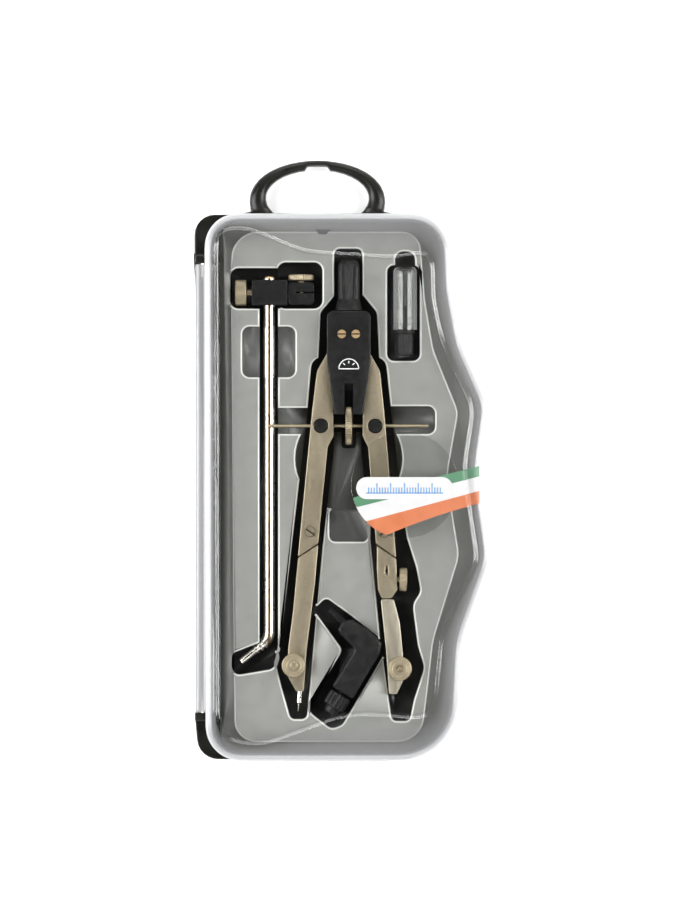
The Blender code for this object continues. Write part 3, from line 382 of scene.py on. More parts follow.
def even_loop(loop, step, rounds):
    """An outline with evenly spaced points, softened over a few of them."""
    lengths = [(b - a).length for a, b in zip(loop, loop[1:] + loop[:1])]
    total = sum(lengths)
    count = round(total / step)
    points = []
    index = 0
    passed = 0.0
    for k in range(count):
        at = total * k / count
        while passed + lengths[index] < at:
            passed += lengths[index]
            index += 1
        a = loop[index]
        b = loop[(index + 1) % len(loop)]
        points.append(a.lerp(b, (at - passed) / lengths[index]))
    for _ in range(rounds):
        around = zip(points[-1:] + points[:-1], points, points[1:] + points[:1])
        points = [p * 0.5 + (a + b) * 0.25 for a, p, b in around]
    return points


def moved_in(loop, distance):
    """An outline that turns left, moved inwards by a distance in metres."""
    out = []
    for before, here, after in zip(loop[-1:] + loop[:-1], loop, loop[1:] + loop[:1]):
        a = (here - before).normalized()
        b = (after - here).normalized()
        na = Vector((-a.y, a.x))
        nb = Vector((-b.y, b.x))
        out.append(here + (na + nb) * (distance / max(1 + na.dot(nb), 0.3)))
    return out


def lift(loop, z):
    """An outline's points at a height."""
    return [(p.x, p.y, z) for p in loop]


def add_piece(name, bm, finish, body, stands_for=()):
    """A finished mesh as a piece that rides on a body."""
    mesh = bpy.data.meshes.new(name)
    bmesh.ops.recalc_face_normals(bm, faces=bm.faces)
    for face in bm.faces:
        face.smooth = True
    bm.to_mesh(mesh)
    bm.free()
    obj = bpy.data.objects.new(name, mesh)
    bpy.context.scene.collection.objects.link(obj)
    mesh.materials.append(FINISH[finish])
    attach(obj, body)
    if stands_for:
        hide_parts(*stands_for)
    return obj


def even_shading(obj, angle=40):
    """Keeps edges over an angle sharp, and lets large faces set the shading."""
    obj.data.set_sharp_from_angle(angle=math.radians(angle))
    even = obj.modifiers.new("shading", "WEIGHTED_NORMAL")
    even.keep_sharp = True


def soften(obj, width, segments=3, angle=35):
    """Rounds a piece's edges by a width in millimetres."""
    bevel = obj.modifiers.new("edges", "BEVEL")
    bevel.width = width * MM
    bevel.segments = segments
    bevel.limit_method = "ANGLE"
    bevel.angle_limit = math.radians(angle)
    bevel.use_clamp_overlap = False
    even = obj.modifiers.new("shading", "WEIGHTED_NORMAL")
    even.keep_sharp = True


def clean_copy(node):
    """A CAD node's solid with whole flat faces in place of triangles."""
    bm = bmesh.new()
    bm.from_mesh(NODES[node].data)
    bmesh.ops.remove_doubles(bm, verts=bm.verts, dist=FINE)
    bmesh.ops.dissolve_limit(bm, angle_limit=math.radians(0.5), verts=bm.verts, edges=bm.edges)
    return bm


def rounded_piece(name, node, finish, width, segments=3, angle=35):
    """A CAD node's own shape with its edges rounded, in place of the node."""
    obj = add_piece(name, clean_copy(node), finish, NODES[node]["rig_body"], [node])
    soften(obj, width, segments, angle)
    return obj


def skin(bm, rings, closed_ends=(False, False)):
    """Faces through rings with the same number of points. Returns the rings' vertices."""
    made = [[bm.verts.new(point) for point in ring] for ring in rings]
    for low, high in zip(made, made[1:]):
        count = len(low)
        for k in range(count):
            bm.faces.new((low[k], low[(k + 1) % count], high[(k + 1) % count], high[k]))
    if closed_ends[0]:
        bm.faces.new(made[0])
    if closed_ends[1]:
        bm.faces.new(made[-1])
    return made


def frame_along(point, axis):
    """The matrix that puts a shape made along +Z onto an axis through a point."""
    return Matrix.Translation(point) @ Vector((0, 0, 1)).rotation_difference(axis).to_matrix().to_4x4()


def lathe(bm, profile, matrix, steps=48, teeth=0):
    """A profile of (radius, height, tooth depth) in millimetres, turned about +Z and then placed."""
    rings = []
    for radius, height, depth in profile:
        ring = []
        for k in range(steps):
            turn = 2 * math.pi * k / steps
            phase = (turn * teeth / (2 * math.pi)) % 1.0
            r = radius - depth * abs(2 * phase - 1)
            ring.append(matrix @ Vector((r * math.cos(turn) * MM, r * math.sin(turn) * MM, height * MM)))
        rings.append(ring)
    skin(bm, rings, (True, True))


def measure(node, point, axis):
    """A node's lowest and highest reach along an axis through a point, and its radius, in millimetres."""
    along = []
    away = []
    for vert in NODES[node].data.vertices:
        offset = vert.co - point
        reach = offset.dot(axis)
        along.append(reach)
        away.append((offset - axis * reach).length)
    return min(along) / MM, max(along) / MM, max(away) / MM


# ---------------------------------------------------------------- case


def inside(point, loop):
    """Whether a point lies within an outline."""
    crossings = 0
    for a, b in zip(loop, loop[1:] + loop[:1]):
        if (a.y > point.y) != (b.y > point.y):
            if point.x < a.x + (point.y - a.y) / (b.y - a.y) * (b.x - a.x):
                crossings += 1
    return crossings % 2 == 1


def fill_between(bm, rings):
    """Flat faces between rings of vertices that lie in one plane. Returns the faces."""
    edges = []
    for ring in rings:
        for a, b in zip(ring, ring[1:] + ring[:1]):
            edges.append(bm.edges.get((a, b)) or bm.edges.new((a, b)))
    made = bmesh.ops.triangle_fill(bm, use_beauty=True, edges=edges)
    for edge in edges:
        edge.smooth = False
    return [part for part in made["geom"] if isinstance(part, bmesh.types.BMFace)]


def rolled_piece(name, node, finish, rim, steps=4, sides=(1, -1), ledge=None):
    """A CAD node whose level top or bottom, or both, get rims rolled over in an arc, in metres.

    The attribute "ledge" is 1 on points at the height called ledge, and 0 elsewhere.
    """
    low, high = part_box(node)
    bm = bmesh.new()
    bm.from_mesh(NODES[node].data)
    bmesh.ops.remove_doubles(bm, verts=bm.verts, dist=FINE)
    for side in sides:
        level = high.z if side > 0 else low.z
        loops = [corners(loop) for loop in section(node, level - side * 0.00005)]
        flat = [
            f for f in bm.faces
            if f.normal.z * side > 0.99 and side * (f.calc_center_median().z - level) > -FINE
        ]
        bmesh.ops.delete(bm, geom=flat, context="FACES_ONLY")
        bmesh.ops.delete(bm, geom=[e for e in bm.edges if not e.link_faces], context="EDGES")
        bmesh.ops.delete(bm, geom=[v for v in bm.verts if not v.link_faces], context="VERTS")
        for vert in bm.verts:
            if side * (vert.co.z - level) > -FINE:
                vert.co.z = level - side * rim
        ends = []
        for loop in loops:
            nested = sum(inside(loop[0], other) for other in loops if other is not loop)
            way = 1 if nested % 2 == 0 else -1
            rings = []
            for k in range(steps + 1):
                turn = math.pi / 2 * k / steps
                inset = way * rim * (1 - math.cos(turn))
                rings.append(lift(moved_in(loop, inset), level - side * rim * (1 - math.sin(turn))))
            ends.append(skin(bm, rings)[-1])
        fill_between(bm, ends)
    bmesh.ops.remove_doubles(bm, verts=bm.verts, dist=FINE)
    if ledge:
        marked = bm.verts.layers.float.new("ledge")
        for vert in bm.verts:
            vert[marked] = 1.0 if abs(vert.co.z - ledge) < 0.0001 else 0.0
    obj = add_piece(name, bm, finish, NODES[node]["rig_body"], [node])
    obj.data.set_sharp_from_angle(angle=math.radians(35))
    return obj


def dark_notch_block():
    """A small black block standing for the dark notch in the middle of the tray's upper edge."""
    low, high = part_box("tray")
    x = low.x + 0.0375
    y = high.y - 0.0044
    bm = bmesh.new()
    rings = []
    for inset, z in ((0.0, 0.0105), (0.0001, 0.0129), (0.0004, 0.01315), (0.0009, 0.01325)):
        ring = [(2.7 * MM - inset, 1.1 * MM - inset), (-2.7 * MM + inset, 1.1 * MM - inset),
                (-1.5 * MM + inset, -1.1 * MM + inset), (1.5 * MM - inset, -1.1 * MM + inset)]
        rings.append([(x + px, y + py, z) for px, py in ring])
    skin(bm, rings, (True, True))
    obj = add_piece("dark_notch_block", bm, "black_satin", "case")
    even_shading(obj, 35)


def lid_pieces():
    """The clear lid: a frosted round edge, a level shelf and a raised window."""
    low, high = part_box("case_lid")
    shelf = 0.020
    outer = even_loop(section("case_lid", shelf - 0.0008)[0], 0.0009, 5)
    dome = even_loop(section("case_lid", high.z - 0.0005)[0], 0.0009, 5)
    edge = 0.0026
    round_in = 0.0009
    lug_top = 0.0168
    lug_side = low.x + 0.0110
    lug_near = (low.y + HINGE_CLEAR[0], high.y - HINGE_CLEAR[1])
    lug_far = 0.0038
    bottom = []
    for p in outer:
        at_lug = p.x < lug_side and any(0 < side * (p.y - y) < lug_far for side, y in zip((-1, 1), lug_near))
        bottom.append((p.x, p.y, lug_top if at_lug else low.z))
    bm = bmesh.new()
    frost_and_shade = bm.verts.layers.float.new("frost_and_shade")
    rings = [bottom]
    steps = 7
    for k in range(steps + 1):
        turn = math.pi / 2 * k / steps
        inset = edge * (1 - math.cos(turn))
        rings.append(lift(moved_in(outer, inset), shelf - edge + edge * math.sin(turn)))
    rings.append(lift(moved_in(outer, edge + 0.0011), shelf))
    # milk of each ring, falling off inwards; below 1 it also darkens the milky colour, painted shade on the
    # inner side of the frosted edge
    frost_and_shade_by_ring = (0.5, 0.6, 0.85, 1.0, 1.0, 0.9, 0.8, 0.65, 0.45, 0.25)
    wall = skin(bm, rings)
    window = []
    foot = 0.0007
    for k in range(4):
        turn = math.pi / 2 * k / 3
        outset = foot * (1 - math.sin(turn))
        window.append(lift(moved_in(dome, -outset), shelf + foot * (1 - math.cos(turn))))
    for k in range(6):
        turn = math.pi / 2 * k / 5
        inset = round_in * (1 - math.cos(turn))
        window.append(lift(moved_in(dome, inset), high.z - round_in + round_in * math.sin(turn)))
    raised = skin(bm, window)
    for ring, level in zip(wall, frost_and_shade_by_ring):
        for vert in ring:
            vert[frost_and_shade] = level
    fill_between(bm, (wall[-1], raised[0]))
    fill_between(bm, (raised[-1],))
    surface_tree = BVHTree.FromBMesh(bm)
    lid = add_piece("lid_shell", bm, "lid", "lid", ["case_lid"])
    thick = lid.modifiers.new("wall", "SOLIDIFY")
    thick.thickness = 0.0012
    thick.offset = -1
    return surface_tree


def barrel_piece():
    """The lid's clear hinge barrel, flat on top with two ribs along its inner side."""
    low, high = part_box("case_lid")
    pin_low, pin_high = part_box("hinge_pin_upper")
    x = (pin_low.x + pin_high.x) / 2
    z = (pin_low.z + pin_high.z) / 2
    y0 = low.y + HINGE_CLEAR[0]
    y1 = high.y - HINGE_CLEAR[1]
    shape = [
        (-3.1, 0.4), (-2.9, 1.8), (-2.2, 2.6), (-0.6, 2.75), (0.2, 2.6), (0.45, 2.9), (0.8, 3.2), (1.15, 2.9),
        (1.4, 2.3), (1.75, 2.2), (2.0, 2.4), (2.4, 2.6), (2.8, 2.3), (3.2, 1.4), (3.3, 0.0), (2.6, -2.0),
        (1.0, -3.1), (-1.0, -3.1), (-2.6, -2.0),
    ]
    shape = even_loop([Vector((px * MM, pz * MM)) for px, pz in reversed(shape)], 0.0003, 2)
    bm = bmesh.new()
    frost_and_shade = bm.verts.layers.float.new("frost_and_shade")
    rings = []
    for y in (y0, y0 + 0.0006, y1 - 0.0006, y1):
        shrink = 0.92 if y in (y0, y1) else 1.0
        rings.append([(x + p.x * shrink, y, z + p.y * shrink) for p in shape])
    for ring in skin(bm, rings, (True, True)):
        for vert in ring:
            vert[frost_and_shade] = 0.8
    obj = add_piece("hinge_barrel", bm, "barrel", "lid")
    even_shading(obj, 50)


def hanging_loop():
    """The rounded loop at the case's end, as wide as the CAD outlines say, and the base without it."""
    low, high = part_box("case_base")
    loop_low, loop_high = 0.002, 0.009
    loops = section("case_base", 0.0055)
    case_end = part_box("case_lid")[1].y
    opening = [loop for loop in loops if min(p.y for p in loop) > case_end - 0.001][0]
    outline = loops[0]
    centre = Vector((sum(p.x for p in opening) / len(opening), case_end + 0.0035))
    half_height = (loop_high - loop_low) / 2
    bm = bmesh.new()
    rings = []
    steps = 72
    around = 20
    squareness = 0.75  # 1 is a round section

    def reach(loop, way):
        """How far from the centre an outline lies in a direction."""
        far = []
        for a, b in zip(loop, loop[1:] + loop[:1]):
            side = b - a
            bottom = way.x * side.y - way.y * side.x
            if abs(bottom) < 1e-12:
                continue
            t = ((a.x - centre.x) * side.y - (a.y - centre.y) * side.x) / bottom
            s = ((a.x - centre.x) * way.y - (a.y - centre.y) * way.x) / bottom
            if t > 0 and 0 <= s <= 1:
                far.append(t)
        return max(far)

    first, last = math.radians(-14), math.radians(194)
    for k in range(steps + 1):
        turn = first + (last - first) * k / steps
        way = Vector((math.cos(turn), math.sin(turn)))
        inner = reach(opening, way)
        outer = reach(outline, way)
        middle = (inner + outer) / 2
        half = (outer - inner) / 2
        ring = []
        for i in range(around):
            a = 2 * math.pi * i / around
            c, s = math.cos(a), math.sin(a)
            c = math.copysign(abs(c) ** squareness, c)
            s = math.copysign(abs(s) ** squareness, s)
            spot = centre + way * (middle + half * c)
            ring.append((spot.x, spot.y, (loop_low + loop_high) / 2 + half_height * s))
        rings.append(ring)
    skin(bm, rings, (True, True))
    add_piece("hanging_loop", bm, "black_gloss", "case")
    body = bmesh.new()
    body.from_mesh(NODES["case_base"].data)
    bmesh.ops.remove_doubles(body, verts=body.verts, dist=FINE)
    geometry = body.verts[:] + body.edges[:] + body.faces[:]
    bmesh.ops.bisect_plane(
        body, geom=geometry, plane_co=(0, case_end - 0.00002, 0), plane_no=(0, 1, 0), clear_outer=True
    )
    bmesh.ops.holes_fill(body, edges=[e for e in body.edges if e.is_boundary], sides=0)
    bmesh.ops.dissolve_limit(body, angle_limit=math.radians(0.5), verts=body.verts, edges=body.edges)
    shell = add_piece("base_shell", body, "black_gloss", "case", ["case_base"])
    soften(shell, 0.6, 3, 40)


# ---------------------------------------------------------------- screws, wheel and spindle


def knob(name, node, body, finish, profile, teeth=40, sign=1):
    """A turned piece on its own joint's axis. The profile's heights start at the far end of its head."""
    joint = JOINTS[body]
    point = Vector(joint["pos_m"])
    axis = Vector(joint["axis"]).normalized() * sign
    low, high, radius = measure(node, point, axis)
    bm = bmesh.new()
    rows = [(r if r > 0 else radius + r, high + h, depth) for r, h, depth in profile]
    rows.append((rows[-1][0], low, 0.0))
    lathe(bm, rows, frame_along(point, axis), 4 * teeth, teeth)
    obj = add_piece(name, bm, finish, body, [node])
    even_shading(obj, 35)
    return obj


def thumb_profile(head, neck, boss=0.0, dished=False):
    """A knurled head whose edges are chamfered. Radii of 0 and less count in from the head's own."""
    rows = []
    if boss:
        rows += [(0.35, 0.0, 0), (1.2, 0.0, 0), (1.45, -0.15, 0), (1.5, -boss, 0)]
    elif dished:
        rows += [(0.3, -0.75, 0), (0.9, -0.7, 0), (1.25, 0.0, 0), (1.7, 0.0, 0)]
    else:
        rows += [(0.4, 0.0, 0), (1.8, 0.0, 0)]
    top = -boss
    rows += [(2.6, top, 0), (2.75, top - 0.08, 0), (2.9, top, 0), (3.4, top, 0), (3.5, top - 0.06, 0)]
    rows += [(3.6, top, 0), (-0.55, top, 0), (-0.25, top - 0.15, 0.0), (-0.02, top - 0.4, 0.22)]
    rows += [(-0.02, top - head + 0.4, 0.22), (-0.25, top - head + 0.12, 0.0), (-0.6, top - head, 0)]
    rows += [(neck + 0.5, top - head, 0), (neck, top - head - 0.3, 0)]
    return rows


def screws():
    """The knurled screws, the wheel and the tube's cap, each on its own joint."""
    knob("needle_thumb_screw", "needle_clamp_screw", "needle_clamp", "champagne_fine",
         thumb_profile(2.6, 0.9, boss=0.7))
    knob("lead_thumb_screw", "lead_clamp_screw", "lead_clamp", "champagne_fine",
         thumb_profile(2.6, 0.9, dished=True))
    knob("insert_thumb_screw", "insert_clamp_screw", "insert_clamp", "champagne_fine",
         thumb_profile(2.8, 0.9))
    knob("bar_thumb_screw", "bar_clamp_screw", "bar_clamp", "champagne_fine",
         thumb_profile(4.2, 1.1), sign=-1)
    knob("socket_thumb_screw", "bar_socket_screw", "bar_socket_clamp", "champagne_fine",
         thumb_profile(2.2, 1.1))
    wheel_rows = [(1.1, 0, 0), (2.2, 0, 0), (2.4, -0.35, 0), (5.4, -0.35, 0), (5.7, 0, 0), (-0.5, 0, 0)]
    wheel_rows += [(-0.02, -0.4, 0.25), (-0.02, -2.0, 0.25), (-0.5, -2.4, 0), (5.7, -2.4, 0), (5.4, -2.05, 0)]
    wheel_rows += [(2.4, -2.05, 0), (2.2, -2.4, 0), (1.1, -2.4, 0)]
    knob("adjusting_wheel", "wheel", "wheel", "champagne_fine", wheel_rows, 48)
    cap_rows = [(1.2, 0, 0), (2.4, 0, 0), (2.9, -0.3, 0), (3.08, -0.9, 0.2), (3.08, -7.4, 0.2)]
    cap_rows += [(2.9, -7.9, 0), (3.55, -8.2, 0), (3.55, -9.0, 0)]
    cap_rows += [(3.05, -9.1, 0), (3.05, -11.9, 0), (0.7, -12.0, 0)]
    knob("tube_knurled_cap", "tube_cap", "tube_cap", "black_satin", cap_rows, 26, -1)
    screw_rows = [(1.2, 0, 0), (1.6, 0, 0), (2.4, -0.5, 0), (2.8, -1.6, 0), (2.8, -2.6, 0), (3.8, -2.9, 0)]
    screw_rows += [(4.15, -3.4, 0.5), (4.15, -7.4, 0.5), (3.9, -8.0, 0), (1.2, -8.1, 0)]
    knob("adapter_thumb_screw", "adapter_screw", "adapter_clamp", "black_soft",
         screw_rows, 16)


def spindle_piece():
    """The threaded spindle, plain where the wheel sits."""
    low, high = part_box("spindle")
    y = (low.y + high.y) / 2
    z = (low.z + high.z) / 2
    radius = (high.y - low.y) / 2
    middle = (low.x + high.x) / 2
    pitch = 0.0007
    sides = 14
    rings = []
    count = int((high.x - low.x) / pitch * 4)
    for k in range(count + 1):
        x = low.x + (high.x - low.x) * k / count
        plain = abs(x - middle) < 0.0022
        ring = []
        for i in range(sides):
            turn = 2 * math.pi * i / sides
            wave = abs(((x - low.x) / pitch + i / sides) % 1.0 * 2 - 1)
            r = radius - (0.00005 if plain else 0.00026 * wave)
            if k in (0, count):
                r *= 0.7
            ring.append((x, y + r * math.cos(turn), z + r * math.sin(turn)))
        rings.append(ring)
    bm = bmesh.new()
    skin(bm, rings, (True, True))
    add_piece("threaded_spindle", bm, "champagne_fine", "spindle", ["spindle"])


def tube_piece():
    """The clear tube for spare leads, closed and rounded at its far end, milky towards its sides as seen from
    above, a painted sheen.
    """
    low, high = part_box("lead_tube")
    x = (low.x + high.x) / 2
    z = (low.z + high.z) / 2
    radius = (high.x - low.x) / 2
    wall = 0.0008
    rounding = 0.0018
    rows = [(radius, low.y), (radius, high.y - rounding)]
    for k in range(1, 7):
        turn = math.pi / 2 * k / 6
        rows.append((radius - rounding * (1 - math.cos(turn)), high.y - rounding * (1 - math.sin(turn))))
    inner_rows = [(r - wall, y - wall if y > low.y else y) for r, y in reversed(rows)]
    steps = 48
    turns = [2 * math.pi * i / steps for i in range(steps)]

    def rings(profile):
        return [[(x + r * math.cos(t), y, z + r * math.sin(t)) for t in turns] for r, y in profile]

    bm = bmesh.new()
    milk_and_side_sheen = bm.verts.layers.float.new("milk_and_side_sheen")
    outside = skin(bm, rings(rows), (False, True))
    inside_wall = skin(bm, rings(inner_rows), (True, False))
    for i in range(steps):
        j = (i + 1) % steps
        bm.faces.new((outside[0][i], outside[0][j], inside_wall[-1][j], inside_wall[-1][i]))
    for ring in outside + inside_wall:
        for turn, vert in zip(turns, ring):
            # a little milk all round, and a painted sheen that grows towards the sides seen from above
            vert[milk_and_side_sheen] = 0.02 + 0.6 * abs(math.cos(turn)) ** 4
    body = NODES["lead_tube"]["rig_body"]
    obj = add_piece("clear_tube", bm, "tube", body, ["lead_tube"])
    even_shading(obj, 40)


def grip_piece():
    """The fluted grip."""
    low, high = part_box("grip")
    x = (low.x + high.x) / 2
    z = (low.z + high.z) / 2
    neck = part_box("head_front")[1].y / MM + 0.3
    top = high.y / MM
    rows = [
        (4.9, neck, 0), (4.7, neck + 1.5, 0), (4.2, neck + 3.5, 0.0), (4.0, neck + 4.2, 0.35),
        (4.0, top - 3.4, 0.35), (3.9, top - 2.2, 0.1), (3.4, top - 0.9, 0), (2.5, top, 0), (1.0, top, 0),
    ]
    bm = bmesh.new()
    lathe(bm, rows, frame_along(Vector((x, 0, z)), Vector((0, 1, 0))), 96, 16)
    obj = add_piece("fluted_grip", bm, "black_satin", "compass_head", ["grip"])
    even_shading(obj, 35)


def head_mark_piece():
    """The front head plate's mark: a plain protractor in white paint."""
    low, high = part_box("head_front")
    top = high.z
    middle = (low.x + high.x) / 2
    base_y = low.y + (high.y - low.y) * 0.44
    radius = 0.0036
    arc = [(radius * math.cos(math.pi * k / 24), radius * math.sin(math.pi * k / 24)) for k in range(25)]
    strokes = [arc + [arc[0]]]
    for degrees in (45, 90, 135):
        c, s = math.cos(math.radians(degrees)), math.sin(math.radians(degrees))
        strokes.append([(c * radius * 0.55, s * radius * 0.55), (c * radius * 0.8, s * radius * 0.8)])
    bm = bmesh.new()
    for stroke in strokes:
        points = [Vector((middle + px, base_y + py)) for px, py in stroke]
        add_line(bm, points, top + 0.00003, 0.00017, 0.00008)
    add_piece("head_mark", bm, "paint_white", "compass_head")


def add_line(bm, points, z, half, thickness):
    """A flat line along points, of a half width and a thickness."""
    left = []
    right = []
    for k, here in enumerate(points):
        before = points[max(k - 1, 0)]
        after = points[min(k + 1, len(points) - 1)]
        way = (after - before).normalized() if (after - before).length > FINE else Vector((1, 0))
        side = Vector((-way.y, way.x)) * half
        left.append(here + side)
        right.append(here - side)
    for k in range(len(points) - 1):
        ring = [left[k], left[k + 1], right[k + 1], right[k]]
        top = [bm.verts.new((p.x, p.y, z + thickness)) for p in ring]
        low = [bm.verts.new((p.x, p.y, z)) for p in ring]
        bm.faces.new(top)
        bm.faces.new(low[::-1])
        for i in range(4):
            bm.faces.new((low[i], low[(i + 1) % 4], top[(i + 1) % 4], top[i]))


# ---------------------------------------------------------------- extension bar


def bar_piece():
    """The polished bar, bent at its foot, with collars and a tail whose slot is a black strip of painted
    shade.
    """
    low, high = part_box("extension_bar")
    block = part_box("bar_block")
    x = high.x - ROD_RADIUS
    z = (low.z + high.z) / 2
    top = block[1].y + 0.0006
    bend_y = -0.063
    bend = 0.0055
    lean = math.radians(51)
    path = [(Vector((x, top)), Vector((0, -1))), (Vector((x, bend_y)), Vector((0, -1)))]
    centre = Vector((x - bend, bend_y))
    for k in range(1, 13):
        turn = lean * k / 12
        spot = centre + Vector((math.cos(turn), -math.sin(turn))) * bend
        path.append((spot, Vector((-math.sin(turn), -math.cos(turn)))))
    end, way = path[-1]
    path.append((end + way * 0.0004, way))
    rings = []
    sides = 28
    for spot, direction in path:
        across = Vector((-direction.y, direction.x)) * ROD_RADIUS
        ring = []
        for i in range(sides):
            turn = 2 * math.pi * i / sides
            edge = spot + across * math.cos(turn)
            ring.append((edge.x, edge.y, z + ROD_RADIUS * math.sin(turn)))
        rings.append(ring)
    bm = bmesh.new()
    skin(bm, rings, (True, True))
    # Collars and a tail along the bent direction
    tail_length = 10.6
    rows = [
        (2.1, 0, 0), (1.6, 0.1, 0), (1.5, 0.9, 0), (1.95, 1.0, 0), (1.95, 2.0, 0), (1.3, 2.2, 0),
        (1.25, 2.8, 0), (1.55, 2.9, 0), (1.55, 3.7, 0), (1.2, 3.9, 0),
        (1.2, tail_length - 0.5, 0), (0.9, tail_length, 0),
    ]
    start = Vector((end.x + way.x * 0.0002, end.y + way.y * 0.0002, z))
    lathe(bm, rows, frame_along(start, Vector((way.x, way.y, 0))), 28)
    obj = add_piece("polished_bar", bm, "rod", "bar", ["extension_bar"])
    even_shading(obj, 35)
    # The slot along the tail, shown by a black strip laid on the rod: painted shade in place of a cut
    slot_bm = bmesh.new()
    a = Vector((start.x, start.y)) + Vector((way.x, way.y)) * 0.0050
    b = Vector((start.x, start.y)) + Vector((way.x, way.y)) * 0.0094
    add_line(slot_bm, [a, b], z + 0.00105, 0.00028, 0.00018)
    add_piece("tail_slot_shade", slot_bm, "black_soft", "bar")
    cap = bmesh.new()
    dome = [(1.9, 0, 0), (1.8, 0.5, 0), (1.3, 0.9, 0), (0.5, 1.05, 0)]
    lathe(cap, dome, frame_along(Vector((x, top - 0.0001, z)), Vector((0, 1, 0))), 24)
    add_piece("bar_end", cap, "brass", "bar")


# ---------------------------------------------------------------- label


def label_pieces(cover):
    """A clear disc with plain coloured bands and a ruler's ticks, and no text. cover is the lid's surface."""
    low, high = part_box("lid_label")
    centre = (low + high) / 2
    radius = (high.x - low.x) / 2
    bm = bmesh.new()
    rim = radius / MM
    profile = [(rim - 0.1, 0, 0), (rim, 0.03, 0), (rim, 0.1, 0), (rim - 0.1, 0.12, 0)]
    lathe(bm, profile, Matrix.Translation((centre.x, centre.y, low.z - 0.00022)), 96)
    add_piece("label_disc", bm, "clear", "lid", ["lid_label"])

    def laid(x, y, above):
        """A point that many metres above the lid, x and y in millimetres from the disc's middle."""
        spot = Vector((centre.x + x * MM, centre.y + y * MM, 0.1))
        hit = cover.ray_cast(spot, Vector((0, 0, -1)))[0]
        return (spot.x, spot.y, hit.z + above)

    def patch(name, finish, left, right, lower, upper, above):
        """A strip from left to right between two heights, each a function of x."""
        bm = bmesh.new()
        columns = max(2, round((right - left) / 0.5))
        rows = 10
        grid = []
        for k in range(columns + 1):
            x = left + (right - left) * k / columns
            y0 = lower(x)
            y1 = max(upper(x), y0 + 0.02)
            grid.append([bm.verts.new(laid(x, y0 + (y1 - y0) * j / rows, above)) for j in range(rows + 1)])
        for a, b in zip(grid, grid[1:]):
            for j in range(rows):
                bm.faces.new((a[j], b[j], b[j + 1], a[j + 1]))
        add_piece(name, bm, finish, "lid")

    r = rim - 0.2
    reach = 27.3  # the bands run past the disc, to the lid's edge
    on_lid = 0.00022

    def arc(x):
        """The disc's lower edge."""
        return -math.sqrt(max(r * r - x * x, 0.0))

    def white_low(x):
        return -9.4 + 0.268 * x

    def white_high(x):
        return -3.7 + 0.25 * x

    def orange_low(x):
        return arc(x) if x < -6.5 else -18.1 + 0.42 * (x + 6.5) - 0.0024 * (x + 6.5) ** 2

    def green_high(x):
        return 0.1 + 0.25 * x

    def on_disc(edge):
        """A band's lower edge, kept on the disc left of its middle."""
        return lambda x: max(edge(x), arc(x)) if x < 0 else edge(x)

    patch("label_band_orange", "label_orange", -14.4, reach, orange_low, white_low, on_lid)
    patch("label_band_white", "label_white", -17.7, reach, on_disc(white_low), white_high, on_lid)
    patch("label_band_green", "label_green", -18.6, reach, on_disc(white_high), green_high, on_lid)
    half = 4.0
    straight = 13.6
    middle = -1.1

    def pill(x):
        """Half the height of the ruler's rounded strip."""
        return math.sqrt(max(half ** 2 - max(abs(x) - straight, 0) ** 2, 0.0))

    patch(
        "label_scale", "label_white", -straight - half, straight + half,
        lambda x: middle - pill(x), lambda x: middle + pill(x), 0.00030,
    )
    bm = bmesh.new()
    ruler_y = -2.9
    ink = 0.00034
    for x in range(-13, 14):
        length = 3.6 if x % 5 == 0 else 2.0
        foot = laid(x, ruler_y, ink)
        tip = laid(x, ruler_y + length, ink)
        add_line(bm, [Vector(foot[:2]), Vector(tip[:2])], foot[2], 0.00018, 0.00004)
    ends = [laid(-14, ruler_y, ink), laid(14, ruler_y, ink)]
    add_line(bm, [Vector(end[:2]) for end in ends], ends[0][2], 0.00018, 0.00004)
    add_piece("label_ticks", bm, "label_blue", "lid")


def lights():
    """Four soft boxes and a studio world that is dimmer straight above."""

    def area(name, place, target, size, power, colour=(1, 1, 1)):
        light = bpy.data.lights.new(name, "AREA")
        light.shape = "RECTANGLE"
        light.size, light.size_y = size
        light.energy = power
        light.color = colour
        obj = bpy.data.objects.new(name, light)
        bpy.context.scene.collection.objects.link(obj)
        obj.location = place
        obj.rotation_euler = (Vector(target) - Vector(place)).to_track_quat("-Z", "Y").to_euler()

    area("softbox_left", (-0.85, 0.05, 0.62), (0, 0, 0), (0.5, 1.1), 22)
    area("softbox_right", (0.85, 0.05, 0.62), (0, 0, 0), (0.5, 1.1), 22)
    area("softbox_far", (0.0, 0.95, 0.75), (0, 0, 0), (1.0, 0.5), 12)
    area("softbox_near", (0.0, -0.95, 0.75), (0, 0, 0), (1.0, 0.5), 10)
    bpy.context.scene.view_settings.view_transform = "Standard"
    world = bpy.data.worlds.new("studio")
    bpy.context.scene.world = world
    world.use_nodes = True
    nodes, links = world.node_tree.nodes, world.node_tree.links
    background = nodes["Background"]
    place = nodes.new("ShaderNodeTexCoord")
    split = nodes.new("ShaderNodeSeparateXYZ")
    links.new(place.outputs["Generated"], split.inputs["Vector"])
    links.new(ramp(nodes, links, split.outputs["Z"], 0.55, 0.98, 1.0, 0.45), background.inputs["Strength"])


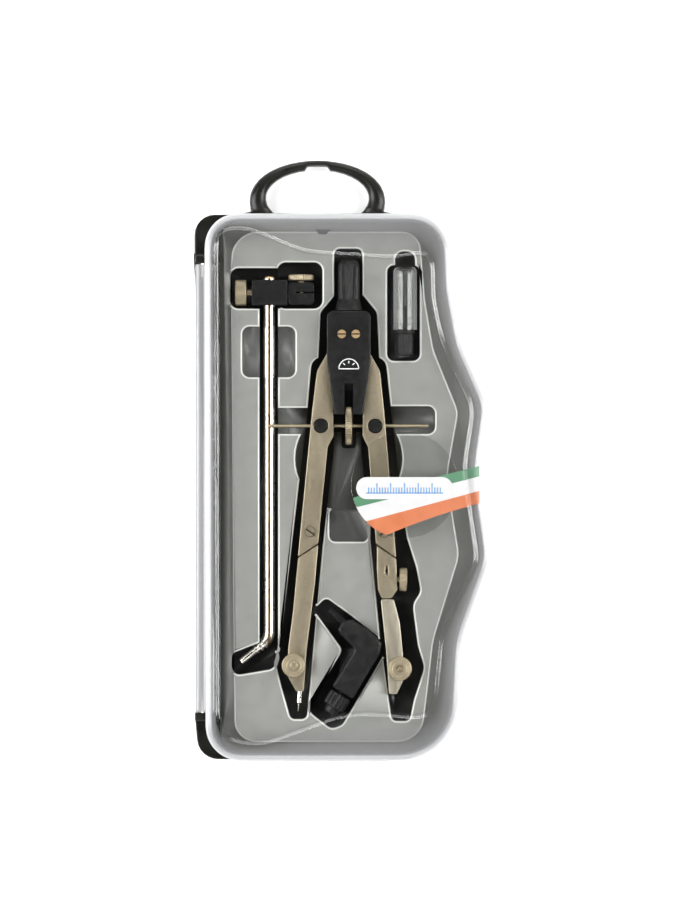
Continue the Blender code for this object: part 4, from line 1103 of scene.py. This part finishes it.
def floor_and_camera():
    """A white floor, and a camera that looks straight down."""
    bm = bmesh.new()
    bmesh.ops.create_grid(bm, x_segments=2, y_segments=2, size=2.5)
    mesh = bpy.data.meshes.new("floor")
    bm.to_mesh(mesh)
    bm.free()
    floor = bpy.data.objects.new("floor", mesh)
    bpy.context.scene.collection.objects.link(floor)
    floor.location.z = -0.0002
    mesh.materials.append(surface("floor_white", (0.93, 0.93, 0.93), 0.7, 0.0, 0.01, 20, 0.02, 300))
    camera = bpy.data.cameras.new("camera")
    obj = bpy.data.objects.new("camera", camera)
    bpy.context.scene.collection.objects.link(obj)
    camera.sensor_fit = "VERTICAL"
    camera.sensor_height = 36
    view_height = 0.3358
    distance = 1.485
    camera.lens = camera.sensor_height * distance / view_height
    obj.location = (-0.0005, -0.0002, 0.015 + distance)
    bpy.context.scene.camera = obj


rolled_piece("tray_insert", "tray", "tray", 0.0009, 6, (1,), LEDGE)
for side in ("left", "right"):
    rolled_piece(f"upper_leg_{side}", f"leg_upper_{side}", "champagne", 0.0003, 3)
    rolled_piece(f"lower_leg_{side}", f"leg_lower_{side}", "champagne", 0.0003, 3)
    rounded_piece(f"swivel_nut_{side}", f"trunnion_{side}", "black_satin", 0.3, 2)
rolled_piece("lead_insert_body", "lead_insert", "insert_metal", 0.0003, 3)
rolled_piece("head_plate_back", "head_back", "black_satin", 0.0004, 3)
rolled_piece("head_plate_front", "head_front", "black_satin", 0.0004, 3)
rounded_piece("clamp_block", "bar_block", "black_satin", 0.3, 2)
rounded_piece("socket_block", "bar_socket", "black_satin", 0.3, 2)
rolled_piece("pen_adapter_body", "pen_adapter", "black_soft", 0.0009, 5)
for name in ("pivot_screw_left", "pivot_screw_right"):
    repaint(name, "pivot_brass")
for name in ("knee_screw_left", "knee_screw_right"):
    repaint(name, "knee_metal")
for name in ("hinge_pin_upper", "hinge_pin_lower", "needle"):
    repaint(name, "polished")
for name in ("lead", "spare_lead_1", "spare_lead_2", "spare_lead_3"):
    repaint(name, "graphite")

dark_notch_block()
lid_surface = lid_pieces()
barrel_piece()
hanging_loop()
screws()
spindle_piece()
tube_piece()
grip_piece()
head_mark_piece()
bar_piece()
label_pieces(lid_surface)
lights()
floor_and_camera()
